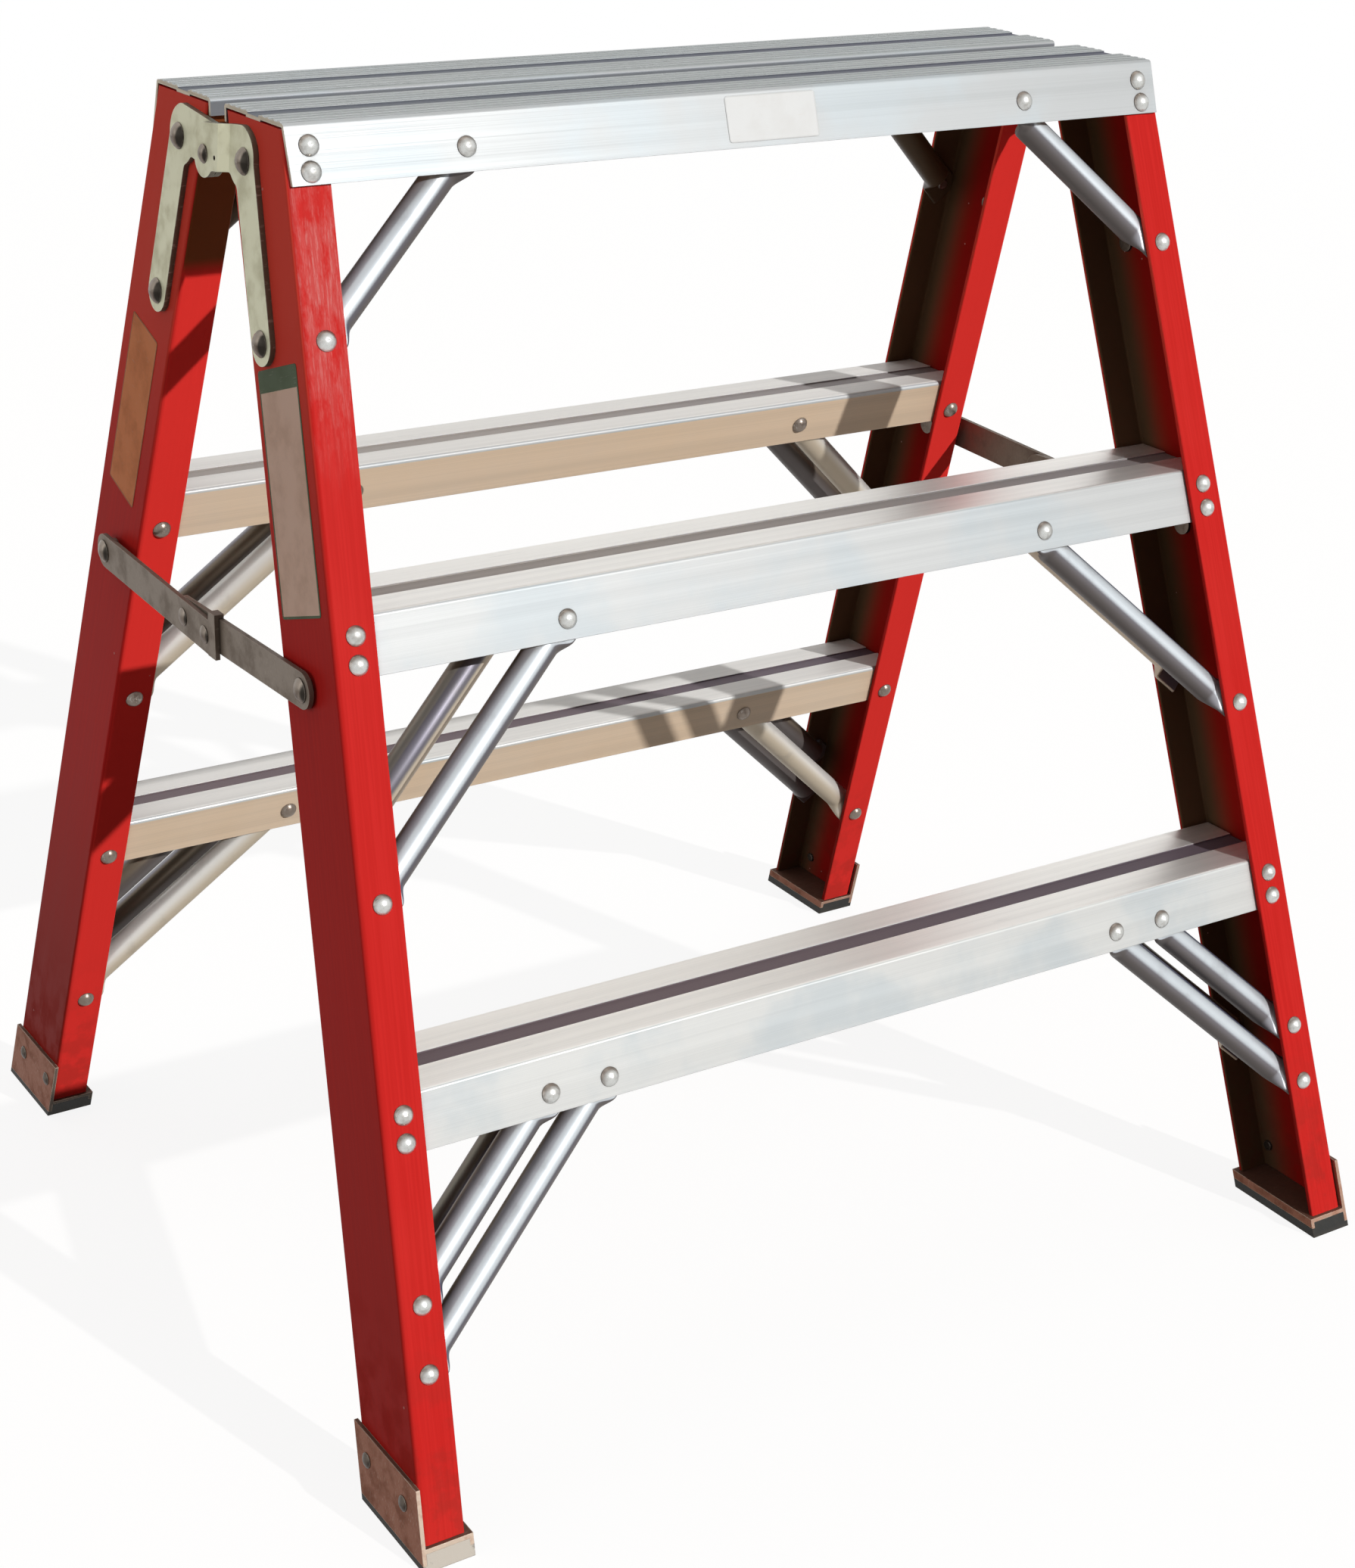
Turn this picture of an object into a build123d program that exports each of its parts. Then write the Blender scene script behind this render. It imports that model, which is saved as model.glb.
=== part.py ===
"""Folding two-sided work platform.

Two leaning ladder frames of channel stiles, grooved treads and tubular braces carry one half each of a
grooved platform. A hinge at each end joins them under the platform, and folding stay bars hold them open.

Millimetres, +Z up. The origin is on the floor under the middle of the platform, X runs along the
platform and the front frame is on the -Y side. Pieces are drawn in the quarter where X and Y are
positive and are mirrored into the other three.
"""

import os
from dataclasses import dataclass
from math import asin, atan2, cos, radians, sin, tan

from build123d import *

# Overall sizes
PLATFORM_HEIGHT = 900.0
STEP_PITCH = 300.0
TOP_HALF_LENGTH = 361.8
SEAM_HALF_GAP = 11.5
LEAN_ANGLE = 18.05
SPLAY_ANGLE = 3.93

# Stile channel, open towards the middle of the platform
STILE_DEPTH = 86.0
STILE_REACH = 31.0
STILE_WALL = 4.2
STILE_CORNER = 3.5
STILE_INNER_CORNER = 2.0
STILE_TIP_ROUND = 1.2

# Grooved platform halves and treads
SHEET = 2.6
GROOVE_WIDTH = 17.0
GROOVE_DEPTH = 1.3
GROOVE_ROUND = 0.5
NOSE_ROUND = 3.0
DECK_APRON = 37.5
SEAM_LIP = 12.0
SEAM_LIP_CLEARANCE = 0.4
TREAD_APRON = 39.0
END_CLEARANCE = 0.5

# Brace tubes with flattened ends
BRACE_RADIUS = 11.0
BRACE_WALL = 1.5
BRACE_SLIT = 0.4
BRACE_FLAT_LEAD = 8.0
BRACE_TAPER = 14.0
BRACE_TAIL = 12.0
BRACE_STANDOFF = 0.4
BRACE_RIVET_OFFSET = 1.5
BRACE_FLAT_SPREAD = 40.0
LONG_BRACE_REACH = 175.7
LONG_BRACE_DROP = 153.3
BRACE_SPACING = 32.3
BRACE_FLAT_GAP = 5.0

# Domed rivets of platform, treads and braces
RIVET_HEAD_RADIUS = 7.0
RIVET_HEAD_HEIGHT = 4.7
RIVET_SHANK_RADIUS = 3.0
RIVET_TAIL_RADIUS = 4.6
RIVET_TAIL_HEIGHT = 2.0
RIVET_EDGE = 16.5
RIVET_RIM = 0.6
HOLE_CLEARANCE = 0.1
DECK_RIVET_DROPS = (14.5, 30.2)
TREAD_RIVET_DROPS = (10.5, 28.6)
DECK_BRACE_RIVET_DROP = 22.6
TREAD_BRACE_RIVET_DROP = 24.0

# Shoes and rubber soles
SHOE_PLATE = 3.0
SHOE_HEIGHT = 54.0
SHOE_OVERHANG = 3.0
SHOE_INNER_MARGIN = 4.8
SHOE_PLATE_BOTTOM = 4.5
SHOE_LIP_BOTTOM = 7.5
SOLE_THICKNESS = 12.0
SHOE_RIVET_HEIGHT = 34.0
SHOE_RIVET_SETBACKS = (20.0, 74.0)
SHOE_RIVET_HEAD_RADIUS = 5.6
SHOE_RIVET_HEAD_HEIGHT = 2.4

# Hinge plates and their pins
HINGE_PLATE = 4.0
HINGE_AXIS_DROP = 34.0
HINGE_LUG_RADIUS = 15.5
HINGE_LUG_GAP = 0.8
HINGE_HEAD_RADIUS = 20.0
HINGE_ARM_HALF_WIDTH = 14.5
HINGE_CORNER_ROUND = 6.0
HINGE_CROWN_RISE = 5.0
HINGE_JOGGLE_CLEARANCE = 6.5
HINGE_JOGGLE_RUN = 9.0
HINGE_PIN_RADIUS = 4.0
HINGE_PIN_HEAD_RADIUS = 6.4
HINGE_PIN_HEAD_HEIGHT = 3.4
HINGE_DOT_RADIUS = 1.6
HINGE_DOT_Y = 17.5
HINGE_RIVET_HEAD_RADIUS = 9.0
HINGE_RIVET_HEAD_HEIGHT = 5.4
HINGE_RIVET_SHANK_RADIUS = 4.5
HINGE_RIVET_TAIL_RADIUS = 7.0

# Places on the hinge plate: setback from the inner flange's face, and drop below the platform
HINGE_HEAD = (25.7, 29.0)
HINGE_UPPER_RIVET = (30.0, 31.0)
HINGE_LOWER_RIVET = (27.5, 143.0)

# Folding stay bars
STAY_THICKNESS = 3.5
STAY_HALF_WIDTH = 13.0
STAY_WEB_CLEARANCE = 1.2
STAY_LAYER_GAP = 0.3
STAY_ANCHOR_SETBACK = 39.0
STAY_ANCHOR_DROP = 54.5
STAY_SAG = 6.0
STAY_JOINT_Y = 18.7
STAY_END_Y = 37.0
STAY_LIP_LENGTH = 10.0
STAY_LIP_THICKNESS = 3.0
STAY_LIP_CLEARANCE = 0.3
STAY_STUD_RADIUS = 5.0
STAY_SHOULDER_RADIUS = 8.5
STAY_HEAD_RADIUS = 8.5
STAY_HEAD_HEIGHT = 4.0
STAY_JOINT_SHANK_RADIUS = 3.5
STAY_JOINT_HEAD_RADIUS = 6.5
STAY_JOINT_HEAD_HEIGHT = 2.6
RUNNING_CLEARANCE = 0.05
SIDE_CLEARANCE = 0.2

# Values worked out from the sizes above
LEAN_TAN = tan(radians(LEAN_ANGLE))
LEAN_COS = cos(radians(LEAN_ANGLE))
SPLAY_TAN = tan(radians(SPLAY_ANGLE))
SPLAY_COS = cos(radians(SPLAY_ANGLE))
FLANGE_NORMAL = Vector(0, LEAN_COS, sin(radians(LEAN_ANGLE)))
WEB_NORMAL = Vector(SPLAY_COS, 0, sin(radians(SPLAY_ANGLE)))
STILE_TOP = PLATFORM_HEIGHT - SHEET - GROOVE_DEPTH
STILE_BOTTOM = SOLE_THICKNESS + SHOE_PLATE
TREAD_HEIGHTS = {"middle": 2 * STEP_PITCH, "lower": STEP_PITCH}
TREAD_END_GAP = STILE_INNER_CORNER + END_CLEARANCE
BRACE_FLAT = 2 * BRACE_WALL + BRACE_SLIT
BRACE_FLAT_WIDTH = BRACE_SPACING - BRACE_FLAT_GAP
BRACE_SLOPE = atan2(LONG_BRACE_DROP, LONG_BRACE_REACH - RIVET_EDGE)
SHORT_BRACE_REACH = LONG_BRACE_REACH - BRACE_SPACING / sin(BRACE_SLOPE)
SHORT_BRACE_DROP = LONG_BRACE_DROP - BRACE_SPACING / cos(BRACE_SLOPE)
HINGE_Z = PLATFORM_HEIGHT - HINGE_AXIS_DROP
STAY_ANCHOR_Z = TREAD_HEIGHTS["middle"] - STAY_ANCHOR_DROP
STAY_JOINT_Z = STAY_ANCHOR_Z - STAY_SAG
BELOW_FLOOR = -STEP_PITCH
ABOVE_TOP = PLATFORM_HEIGHT + STEP_PITCH


def web_x(z, inset=0.0):
    """X of the stile's outer web face at height z, moved inwards by inset square to the face."""
    return TOP_HALF_LENGTH + (PLATFORM_HEIGHT - z) * SPLAY_TAN - inset / SPLAY_COS


FLANGE_TOP_Y = (
    SEAM_HALF_GAP + SHEET + SEAM_LIP_CLEARANCE + STILE_DEPTH - (PLATFORM_HEIGHT - STILE_TOP) * LEAN_TAN
)


def flange_y(z, inset=0.0):
    """Y of the outer flange's outer face at height z, moved inwards by inset square to the face."""
    return FLANGE_TOP_Y + (PLATFORM_HEIGHT - z) * LEAN_TAN - inset / LEAN_COS


def rear_flange_y(z, inset=0.0):
    """Y of the inner flange's face that looks at the other frame, moved into the channel by inset."""
    return flange_y(z) - STILE_DEPTH + inset / LEAN_COS


STAY_ANCHOR_Y = rear_flange_y(STAY_ANCHOR_Z) + STAY_ANCHOR_SETBACK


def beyond_web(inset=0.0):
    """Block that fills the space outside the web's outer face moved inwards by inset."""
    far = 2 * web_x(BELOW_FLOOR)
    outline = Polyline(
        (web_x(BELOW_FLOOR, inset), BELOW_FLOOR),
        (far, BELOW_FLOOR),
        (far, ABOVE_TOP),
        (web_x(ABOVE_TOP, inset), ABOVE_TOP),
        close=True,
    )
    return extrude(Plane.XZ * make_face(outline), amount=far, both=True)


def along_stile(section, bottom, top):
    """Extrude a horizontal section, drawn at height bottom, along the stile's slope up to height top."""
    run = Vector(web_x(top) - web_x(bottom), flange_y(top) - flange_y(bottom), top - bottom)
    return Solid.extrude(section.faces()[0], run)


def level_rectangle(x_low, x_high, y_low, y_high, z):
    """Horizontal rectangle at height z."""
    width = x_high - x_low
    depth = y_high - y_low
    return Pos(x_low + width / 2, y_low + depth / 2, z) * Rectangle(width, depth)


def one_solid(shape):
    """The single solid of a shape."""
    return shape.solids()[0]


@dataclass(frozen=True)
class Fastener:
    """Domed rivet: its head sits on the plane, its shank runs down through the grip to a formed tail."""

    plane: Plane
    grip: float
    head_radius: float = RIVET_HEAD_RADIUS
    head_height: float = RIVET_HEAD_HEIGHT
    shank_radius: float = RIVET_SHANK_RADIUS
    tail_radius: float = RIVET_TAIL_RADIUS
    tail_height: float = RIVET_TAIL_HEIGHT

    def solid(self):
        """The rivet, a turned shape on the plane's normal."""
        foot = -self.grip - self.tail_height
        outline = dome_edges(self.head_radius, self.head_height) + [
            Line((self.head_radius, RIVET_RIM), (self.head_radius, 0)),
            Line((self.head_radius, 0), (self.shank_radius, 0)),
            Line((self.shank_radius, 0), (self.shank_radius, -self.grip)),
            Line((self.shank_radius, -self.grip), (self.tail_radius, -self.grip)),
            Line((self.tail_radius, -self.grip), (self.tail_radius - RIVET_RIM, foot)),
            Line((self.tail_radius - RIVET_RIM, foot), (0, foot)),
            Line((0, foot), (0, self.head_height)),
        ]
        return one_solid(self.plane * revolve(Plane.XZ * make_face(outline), Axis.Z))

    def hole(self):
        """Cylinder that clears the shank through the whole grip."""
        length = self.grip + self.head_height + self.tail_height
        radius = self.shank_radius + HOLE_CLEARANCE
        return self.plane * Pos(0, 0, -self.grip / 2) * Cylinder(radius, length)


def dome_edges(radius, height):
    """Edge of a domed head from the top of its axis to the rim above its seat."""
    rise = height - RIVET_RIM
    ball = (radius**2 + rise**2) / (2 * rise)
    half = asin(min(1.0, radius / ball)) / 2
    middle = (ball * sin(half), height - ball * (1 - cos(half)))
    return [ThreePointArc((0, height), middle, (radius, RIVET_RIM))]


def flange_fastener(side, x, z, seat, grip):
    """Rivet square to a flange; seat is the depth of its head below the flange's outer face."""
    if side == "outer":
        face = Vector(x, flange_y(z), z)
        normal = FLANGE_NORMAL
    else:
        face = Vector(x, rear_flange_y(z), z)
        normal = -FLANGE_NORMAL
    return Fastener(Plane(face - normal * seat, x_dir=(1, 0, 0), z_dir=normal), grip)


def web_fastener(y, z, plate, **sizes):
    """Steel rivet square to the web through a plate on its outer face."""
    seat = Vector(web_x(z), y, z) + WEB_NORMAL * plate
    return Fastener(Plane(seat, x_dir=(0, 1, 0), z_dir=WEB_NORMAL), plate + STILE_WALL, **sizes)


@dataclass(frozen=True)
class Brace:
    """Tube between the apron of a step and a flange of the stile, flattened and riveted at both ends."""

    side: str
    step_top: float
    rivet_drop: float
    reach: float
    drop: float
    apron_seat: float
    flange_seat: float

    def apron_point(self):
        """X and Z of the rivet in the step's apron."""
        z = self.step_top - self.rivet_drop
        return web_x(z) - self.reach, z

    def flange_point(self):
        """X and Z of the rivet in the flange."""
        z = self.step_top - self.rivet_drop - self.drop
        return web_x(z) - RIVET_EDGE, z

    def rivets(self):
        """Rivets of the upper and the lower end."""
        apron_x, apron_z = self.apron_point()
        flange_x, flange_z = self.flange_point()
        upper = flange_fastener(self.side, apron_x, apron_z, self.apron_seat - SHEET, SHEET + BRACE_FLAT)
        seat = self.flange_seat - STILE_WALL
        lower = flange_fastener(self.side, flange_x, flange_z, seat, STILE_WALL + BRACE_FLAT)
        return upper, lower

    def body(self, shrink):
        """Outside of the tube, or its bore where shrink is the wall to take off all round."""
        start = flange_fastener(self.side, *self.apron_point(), 0, 0).plane
        end = flange_fastener(self.side, *self.flange_point(), 0, 0).plane
        run = end.origin - start.origin
        frame = Plane(start.origin, x_dir=start.z_dir, z_dir=run.normalized())
        lift = frame.y_dir.Z / abs(frame.y_dir.Z)
        shift = -lift * BRACE_RIVET_OFFSET
        tail = BRACE_TAIL + shrink
        round_depth = max(self.apron_seat, self.flange_seat) + BRACE_STANDOFF + BRACE_RADIUS
        first = BRACE_FLAT_LEAD
        last = run.length - BRACE_FLAT_LEAD
        flat_depths = (self.apron_seat + BRACE_FLAT / 2, self.flange_seat + BRACE_FLAT / 2)
        upper = (frame * flat_outline(-tail, flat_depths[0], shift, shrink)).wire()
        upper_end = (frame * flat_outline(first, flat_depths[0], shift, shrink)).wire()
        round_start = (frame * round_outline(first + BRACE_TAPER, round_depth, shift, shrink)).wire()
        round_end = (frame * round_outline(last - BRACE_TAPER, round_depth, shift, shrink)).wire()
        lower_start = (frame * flat_outline(last, flat_depths[1], shift, shrink)).wire()
        lower = (frame * flat_outline(run.length + tail, flat_depths[1], shift, shrink)).wire()
        stations = [upper, upper_end, round_start, round_end, lower_start, lower]
        return Solid.make_loft(stations, ruled=True)

    def solid(self):
        """Tube trimmed clear of the web and of the step's sheet, with its rivet holes."""
        sheet_bottom = self.step_top - SHEET - GROOVE_DEPTH - END_CLEARANCE
        span = 2 * web_x(BELOW_FLOOR)
        above = Pos(0, 0, sheet_bottom) * Box(
            span, span, STEP_PITCH, align=(Align.CENTER, Align.CENTER, Align.MIN)
        )
        tube = self.body(0) - self.body(BRACE_WALL)
        tube -= beyond_web(STILE_WALL + TREAD_END_GAP)
        tube -= above
        for rivet in self.rivets():
            tube -= rivet.hole()
        return one_solid(tube)


def flat_outline(along, depth, shift, shrink):
    """Flattened tube section; local X points out of the flange and local Y across the tube."""
    half = BRACE_FLAT / 2 - shrink
    straight = BRACE_FLAT_WIDTH / 2 - BRACE_FLAT / 2
    edges = [
        Line((half, -straight), (half, straight)),
        ThreePointArc((half, straight), (0, straight + half), (-half, straight)),
        Line((-half, straight), (-half, -straight)),
        ThreePointArc((-half, -straight), (0, -straight - half), (half, -straight)),
    ]
    return Pos(-depth, shift, along) * Wire(edges)


def round_outline(along, depth, shift, shrink):
    """Round tube section in four arcs that match the sides of the flattened section."""
    radius = BRACE_RADIUS - shrink
    across = radius * cos(radians(BRACE_FLAT_SPREAD))
    out = radius * sin(radians(BRACE_FLAT_SPREAD))
    edges = [
        ThreePointArc((out, -across), (radius, 0), (out, across)),
        ThreePointArc((out, across), (0, radius), (-out, across)),
        ThreePointArc((-out, across), (-radius, 0), (-out, -across)),
        ThreePointArc((-out, -across), (0, -radius), (out, -across)),
    ]
    return Pos(-depth, shift, along) * Wire(edges)


def frame_braces():
    """Braces of one end of a frame."""
    platform = (PLATFORM_HEIGHT, DECK_BRACE_RIVET_DROP)
    middle = (TREAD_HEIGHTS["middle"], TREAD_BRACE_RIVET_DROP)
    lower = (TREAD_HEIGHTS["lower"], TREAD_BRACE_RIVET_DROP)
    long_brace = (LONG_BRACE_REACH, LONG_BRACE_DROP)
    short_brace = (SHORT_BRACE_REACH, SHORT_BRACE_DROP)
    inside_tread = (STILE_WALL + SHEET, STILE_WALL)
    return {
        "top_brace": Brace("outer", *platform, *short_brace, 0, STILE_WALL),
        "middle_outer_brace": Brace("outer", *middle, *long_brace, *inside_tread),
        "middle_inner_brace": Brace("inner", *middle, *long_brace, *inside_tread),
        "lower_long_brace": Brace("outer", *lower, *long_brace, *inside_tread),
        "lower_short_brace": Brace("outer", *lower, *short_brace, *inside_tread),
        "lower_inner_brace": Brace("inner", *lower, *long_brace, *inside_tread),
    }


def deck_rivets():
    """Rivets through the platform's apron and the outer flange."""
    heights = [PLATFORM_HEIGHT - drop for drop in DECK_RIVET_DROPS]
    return [flange_fastener("outer", web_x(z) - RIVET_EDGE, z, -SHEET, SHEET + STILE_WALL) for z in heights]


def tread_rivets(top):
    """Rivets that hold one end of a tread: two in the outer flange and one in the inner flange."""
    places = [("outer", top - drop) for drop in TREAD_RIVET_DROPS]
    places.append(("inner", top - TREAD_RIVET_DROPS[-1]))
    return [flange_fastener(side, web_x(z) - RIVET_EDGE, z, 0, STILE_WALL + SHEET) for side, z in places]


def hinge_place(setback, drop):
    """Y and Z of a place on the hinge plate."""
    z = PLATFORM_HEIGHT - drop
    return rear_flange_y(z) + setback, z


def hinge_rivets():
    """Large domed rivets of one hinge plate."""
    sizes = {
        "head_radius": HINGE_RIVET_HEAD_RADIUS,
        "head_height": HINGE_RIVET_HEAD_HEIGHT,
        "shank_radius": HINGE_RIVET_SHANK_RADIUS,
        "tail_radius": HINGE_RIVET_TAIL_RADIUS,
    }
    places = [hinge_place(*place) for place in (HINGE_UPPER_RIVET, HINGE_LOWER_RIVET)]
    return [web_fastener(y, z, HINGE_PLATE, **sizes) for y, z in places]


def shoe_rivets():
    """Rivets of one shoe's web plate."""
    z = SHOE_RIVET_HEIGHT
    sizes = {"head_radius": SHOE_RIVET_HEAD_RADIUS, "head_height": SHOE_RIVET_HEAD_HEIGHT}
    return [web_fastener(flange_y(z) - setback, z, SHOE_PLATE, **sizes) for setback in SHOE_RIVET_SETBACKS]


def stile():
    """Channel stile with the holes of every fastener that goes through it."""
    z = STILE_BOTTOM
    wall_x = STILE_WALL / SPLAY_COS
    wall_y = STILE_WALL / LEAN_COS
    back = web_x(z)
    tip = back - STILE_REACH
    low = rear_flange_y(z)
    high = flange_y(z)
    outline = Polyline(
        (back, low),
        (back, high),
        (tip, high),
        (tip, high - wall_y),
        (back - wall_x, high - wall_y),
        (back - wall_x, low + wall_y),
        (tip, low + wall_y),
        (tip, low),
        close=True,
    )
    section = make_face(outline)
    outer = section.vertices().filter_by_position(Axis.X, back, back)
    inner = section.vertices().filter_by_position(Axis.X, back - wall_x, back - wall_x)
    tips = section.vertices().filter_by_position(Axis.X, tip, tip)
    section = fillet(outer, STILE_CORNER)
    section = fillet(closest(section, inner), STILE_INNER_CORNER)
    section = fillet(closest(section, tips), STILE_TIP_ROUND)
    channel = along_stile(Pos(0, 0, z) * section, STILE_BOTTOM, STILE_TOP)
    fasteners = deck_rivets() + hinge_rivets() + shoe_rivets()
    for top in TREAD_HEIGHTS.values():
        fasteners += tread_rivets(top)
    for brace in frame_braces().values():
        fasteners.append(brace.rivets()[1])
    for fastener in fasteners:
        channel -= fastener.hole()
    return one_solid(channel - stay_stud_hole())


def closest(shape, points):
    """The shape's own vertices at the places of the given vertices."""
    return [shape.vertices().sort_by_distance(point)[0] for point in points]


def grooved_step(front, rear, top, front_bottom, rear_bottom):
    """Section of a step: front and rear give Y of its outer faces by height, drawn in the YZ plane."""
    wall = SHEET / LEAN_COS
    middle = (front(top) + rear(top)) / 2
    near = middle + GROOVE_WIDTH / 2
    far = middle - GROOVE_WIDTH / 2
    under = top - SHEET
    floor = top - GROOVE_DEPTH
    floor_under = floor - SHEET
    outline = Polyline(
        (front(front_bottom), front_bottom),
        (front(top), top),
        (near, top),
        (near, floor),
        (far, floor),
        (far, top),
        (rear(top), top),
        (rear(rear_bottom), rear_bottom),
        (rear(rear_bottom) + wall, rear_bottom),
        (rear(under) + wall, under),
        (far - SHEET, under),
        (far - SHEET, floor_under),
        (near + SHEET, floor_under),
        (near + SHEET, under),
        (front(under) - wall, under),
        (front(front_bottom) - wall, front_bottom),
        close=True,
    )
    section = make_face(outline)
    noses = [Vertex(front(top), top, 0), Vertex(rear(top), top, 0)]
    edges = [Vertex(near, top, 0), Vertex(far, top, 0), Vertex(near, floor, 0), Vertex(far, floor, 0)]
    section = fillet(closest(section, noses), NOSE_ROUND)
    return fillet(closest(section, edges), GROOVE_ROUND)


def step_length(section, half_length, cutters):
    """Section run along X by half_length to both sides, less the cutters at both ends."""
    body = extrude(Plane.YZ * section, amount=half_length, both=True)
    for cutter in cutters:
        body -= cutter
        body -= cutter.mirror(Plane.YZ)
    return one_solid(body)


def deck():
    """Half of the platform, sawn off square: grooved top, apron over the outer flange, lip at the seam."""
    lip = SEAM_HALF_GAP

    def front(z):
        return flange_y(z, -SHEET)

    def rear(z):
        return lip

    bottoms = (PLATFORM_HEIGHT - DECK_APRON, PLATFORM_HEIGHT - SEAM_LIP)
    section = grooved_step(front, rear, PLATFORM_HEIGHT, *bottoms)
    fasteners = deck_rivets() + [frame_braces()["top_brace"].rivets()[0]]
    return step_length(section, TOP_HALF_LENGTH, [fastener.hole() for fastener in fasteners])


def tread(level):
    """Tread between the flanges of both stiles, sawn off along the webs."""
    top = TREAD_HEIGHTS[level]
    bottom = top - TREAD_APRON

    def front(z):
        return flange_y(z, STILE_WALL)

    def rear(z):
        return rear_flange_y(z, STILE_WALL)

    section = grooved_step(front, rear, top, bottom, bottom)
    fasteners = tread_rivets(top)
    for name, brace in frame_braces().items():
        if name.startswith(level):
            fasteners.append(brace.rivets()[0])
    cutters = [beyond_web(STILE_WALL + TREAD_END_GAP)] + [fastener.hole() for fastener in fasteners]
    return step_length(section, web_x(BELOW_FLOOR), cutters)


def shoe_span(z):
    """Y range of shoe and sole at height z."""
    return rear_flange_y(z) - SHOE_OVERHANG, flange_y(z) + SHOE_OVERHANG


def foot_bar(offset_low, offset_high, bottom, top):
    """Bar across the foot between two heights; the offsets in X count from the web's outer face."""
    back = web_x(bottom)
    low, high = shoe_span(bottom)
    section = level_rectangle(back + offset_low, back + offset_high, low, high, bottom)
    return along_stile(section, bottom, top)


def shoe():
    """Steel shoe: plate on the web, floor under the stile and a lip that keeps the sole in."""
    plate_x = SHOE_PLATE / SPLAY_COS
    inner = -STILE_REACH - SHOE_INNER_MARGIN
    body = foot_bar(0, plate_x, SHOE_PLATE_BOTTOM, SHOE_HEIGHT)
    body += foot_bar(inner, 0, SOLE_THICKNESS, STILE_BOTTOM)
    body += foot_bar(inner, inner + plate_x, SHOE_LIP_BOTTOM, SOLE_THICKNESS)
    for rivet in shoe_rivets():
        body -= rivet.hole()
    return one_solid(body)


def sole():
    """Rubber sole between the shoe's plate and lip, which it also covers from below."""
    plate_x = SHOE_PLATE / SPLAY_COS
    inner = -STILE_REACH - SHOE_INNER_MARGIN
    body = foot_bar(inner + plate_x, 0, 0, SOLE_THICKNESS)
    body += foot_bar(0, plate_x, 0, SHOE_PLATE_BOTTOM)
    body += foot_bar(inner, inner + plate_x, 0, SHOE_LIP_BOTTOM)
    return one_solid(body)


def capsule(start, end, radius):
    """Outline of two circles and the straight sides between them."""
    start = Vector(*start)
    end = Vector(*end)
    along = (end - start).normalized()
    side = Vector(-along.Y, along.X) * radius
    middle = make_face(Polyline(start + side, end + side, end - side, start - side, close=True))
    return middle + Pos(start) * Circle(radius) + Pos(end) * Circle(radius)


def hinge_plate(joggle):
    """Hinge plate on the web, whose lug at the pin stands out by joggle from the rest."""
    head = hinge_place(*HINGE_HEAD)
    upper = hinge_place(*HINGE_UPPER_RIVET)
    lower = hinge_place(*HINGE_LOWER_RIVET)
    crown = (head[0], head[1] + HINGE_CROWN_RISE)
    outline = capsule(upper, lower, HINGE_ARM_HALF_WIDTH)
    outline += capsule(crown, (0, HINGE_Z + HINGE_CROWN_RISE), HINGE_LUG_RADIUS)
    outline += Pos(*head) * Circle(HINGE_HEAD_RADIUS)
    outline += Pos(0, HINGE_Z) * Circle(HINGE_LUG_RADIUS)
    outline = offset(offset(outline, HINGE_CORNER_ROUND), -HINGE_CORNER_ROUND)
    prism = extrude(Plane.YZ * outline, amount=2 * web_x(BELOW_FLOOR))
    plate = prism & bent_slab(joggle)
    for rivet in hinge_rivets():
        plate -= rivet.hole()
    pin_clearance = HOLE_CLEARANCE if joggle else RUNNING_CLEARANCE
    plate -= x_rod(0, HINGE_Z, HINGE_PIN_RADIUS + pin_clearance)
    if joggle:
        plate -= x_rod(HINGE_DOT_Y, HINGE_Z, HINGE_DOT_RADIUS)
    return one_solid(plate)


def bent_slab(joggle):
    """Sheet on the web's outer face that steps outwards by joggle near the hinge pin."""
    step_start = HINGE_LUG_RADIUS + HINGE_JOGGLE_CLEARANCE
    step_end = step_start + HINGE_JOGGLE_RUN
    bottom = BELOW_FLOOR
    top = ABOVE_TOP
    near = -STILE_DEPTH
    far = 2 * STILE_DEPTH
    base = web_x(bottom)
    thick = HINGE_PLATE / SPLAY_COS
    outline = Polyline(
        (base + joggle, near),
        (base + joggle, step_start),
        (base, step_end),
        (base, far),
        (base + thick, far),
        (base + thick, step_end),
        (base + joggle + thick, step_start),
        (base + joggle + thick, near),
        close=True,
    )
    section = Pos(0, 0, bottom) * make_face(outline)
    return Solid.extrude(section.faces()[0], Vector(web_x(top) - base, 0, top - bottom))


def x_rod(y, z, radius):
    """Long cylinder along X through a point of the end plane."""
    return Pos(0, y, z) * Rot(0, 90, 0) * Cylinder(radius, 4 * web_x(BELOW_FLOOR))


def x_disc(x_low, x_high, y, z, radius):
    """Cylinder along X between two values of X."""
    return Pos((x_low + x_high) / 2, y, z) * Rot(0, 90, 0) * Cylinder(radius, x_high - x_low)


def x_dome(x, radius, height, y, z):
    """Domed head along X that starts at x."""
    edges = dome_edges(radius, height) + [
        Line((radius, RIVET_RIM), (radius, 0)),
        Line((radius, 0), (0, 0)),
        Line((0, 0), (0, height)),
    ]
    return Pos(x, y, z) * Rot(0, 90, 0) * revolve(Plane.XZ * make_face(edges), Axis.Z)


def lug_step():
    """How far the front lug stands outside the back lug, from face to like face."""
    return (HINGE_PLATE + HINGE_LUG_GAP) / SPLAY_COS


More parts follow.
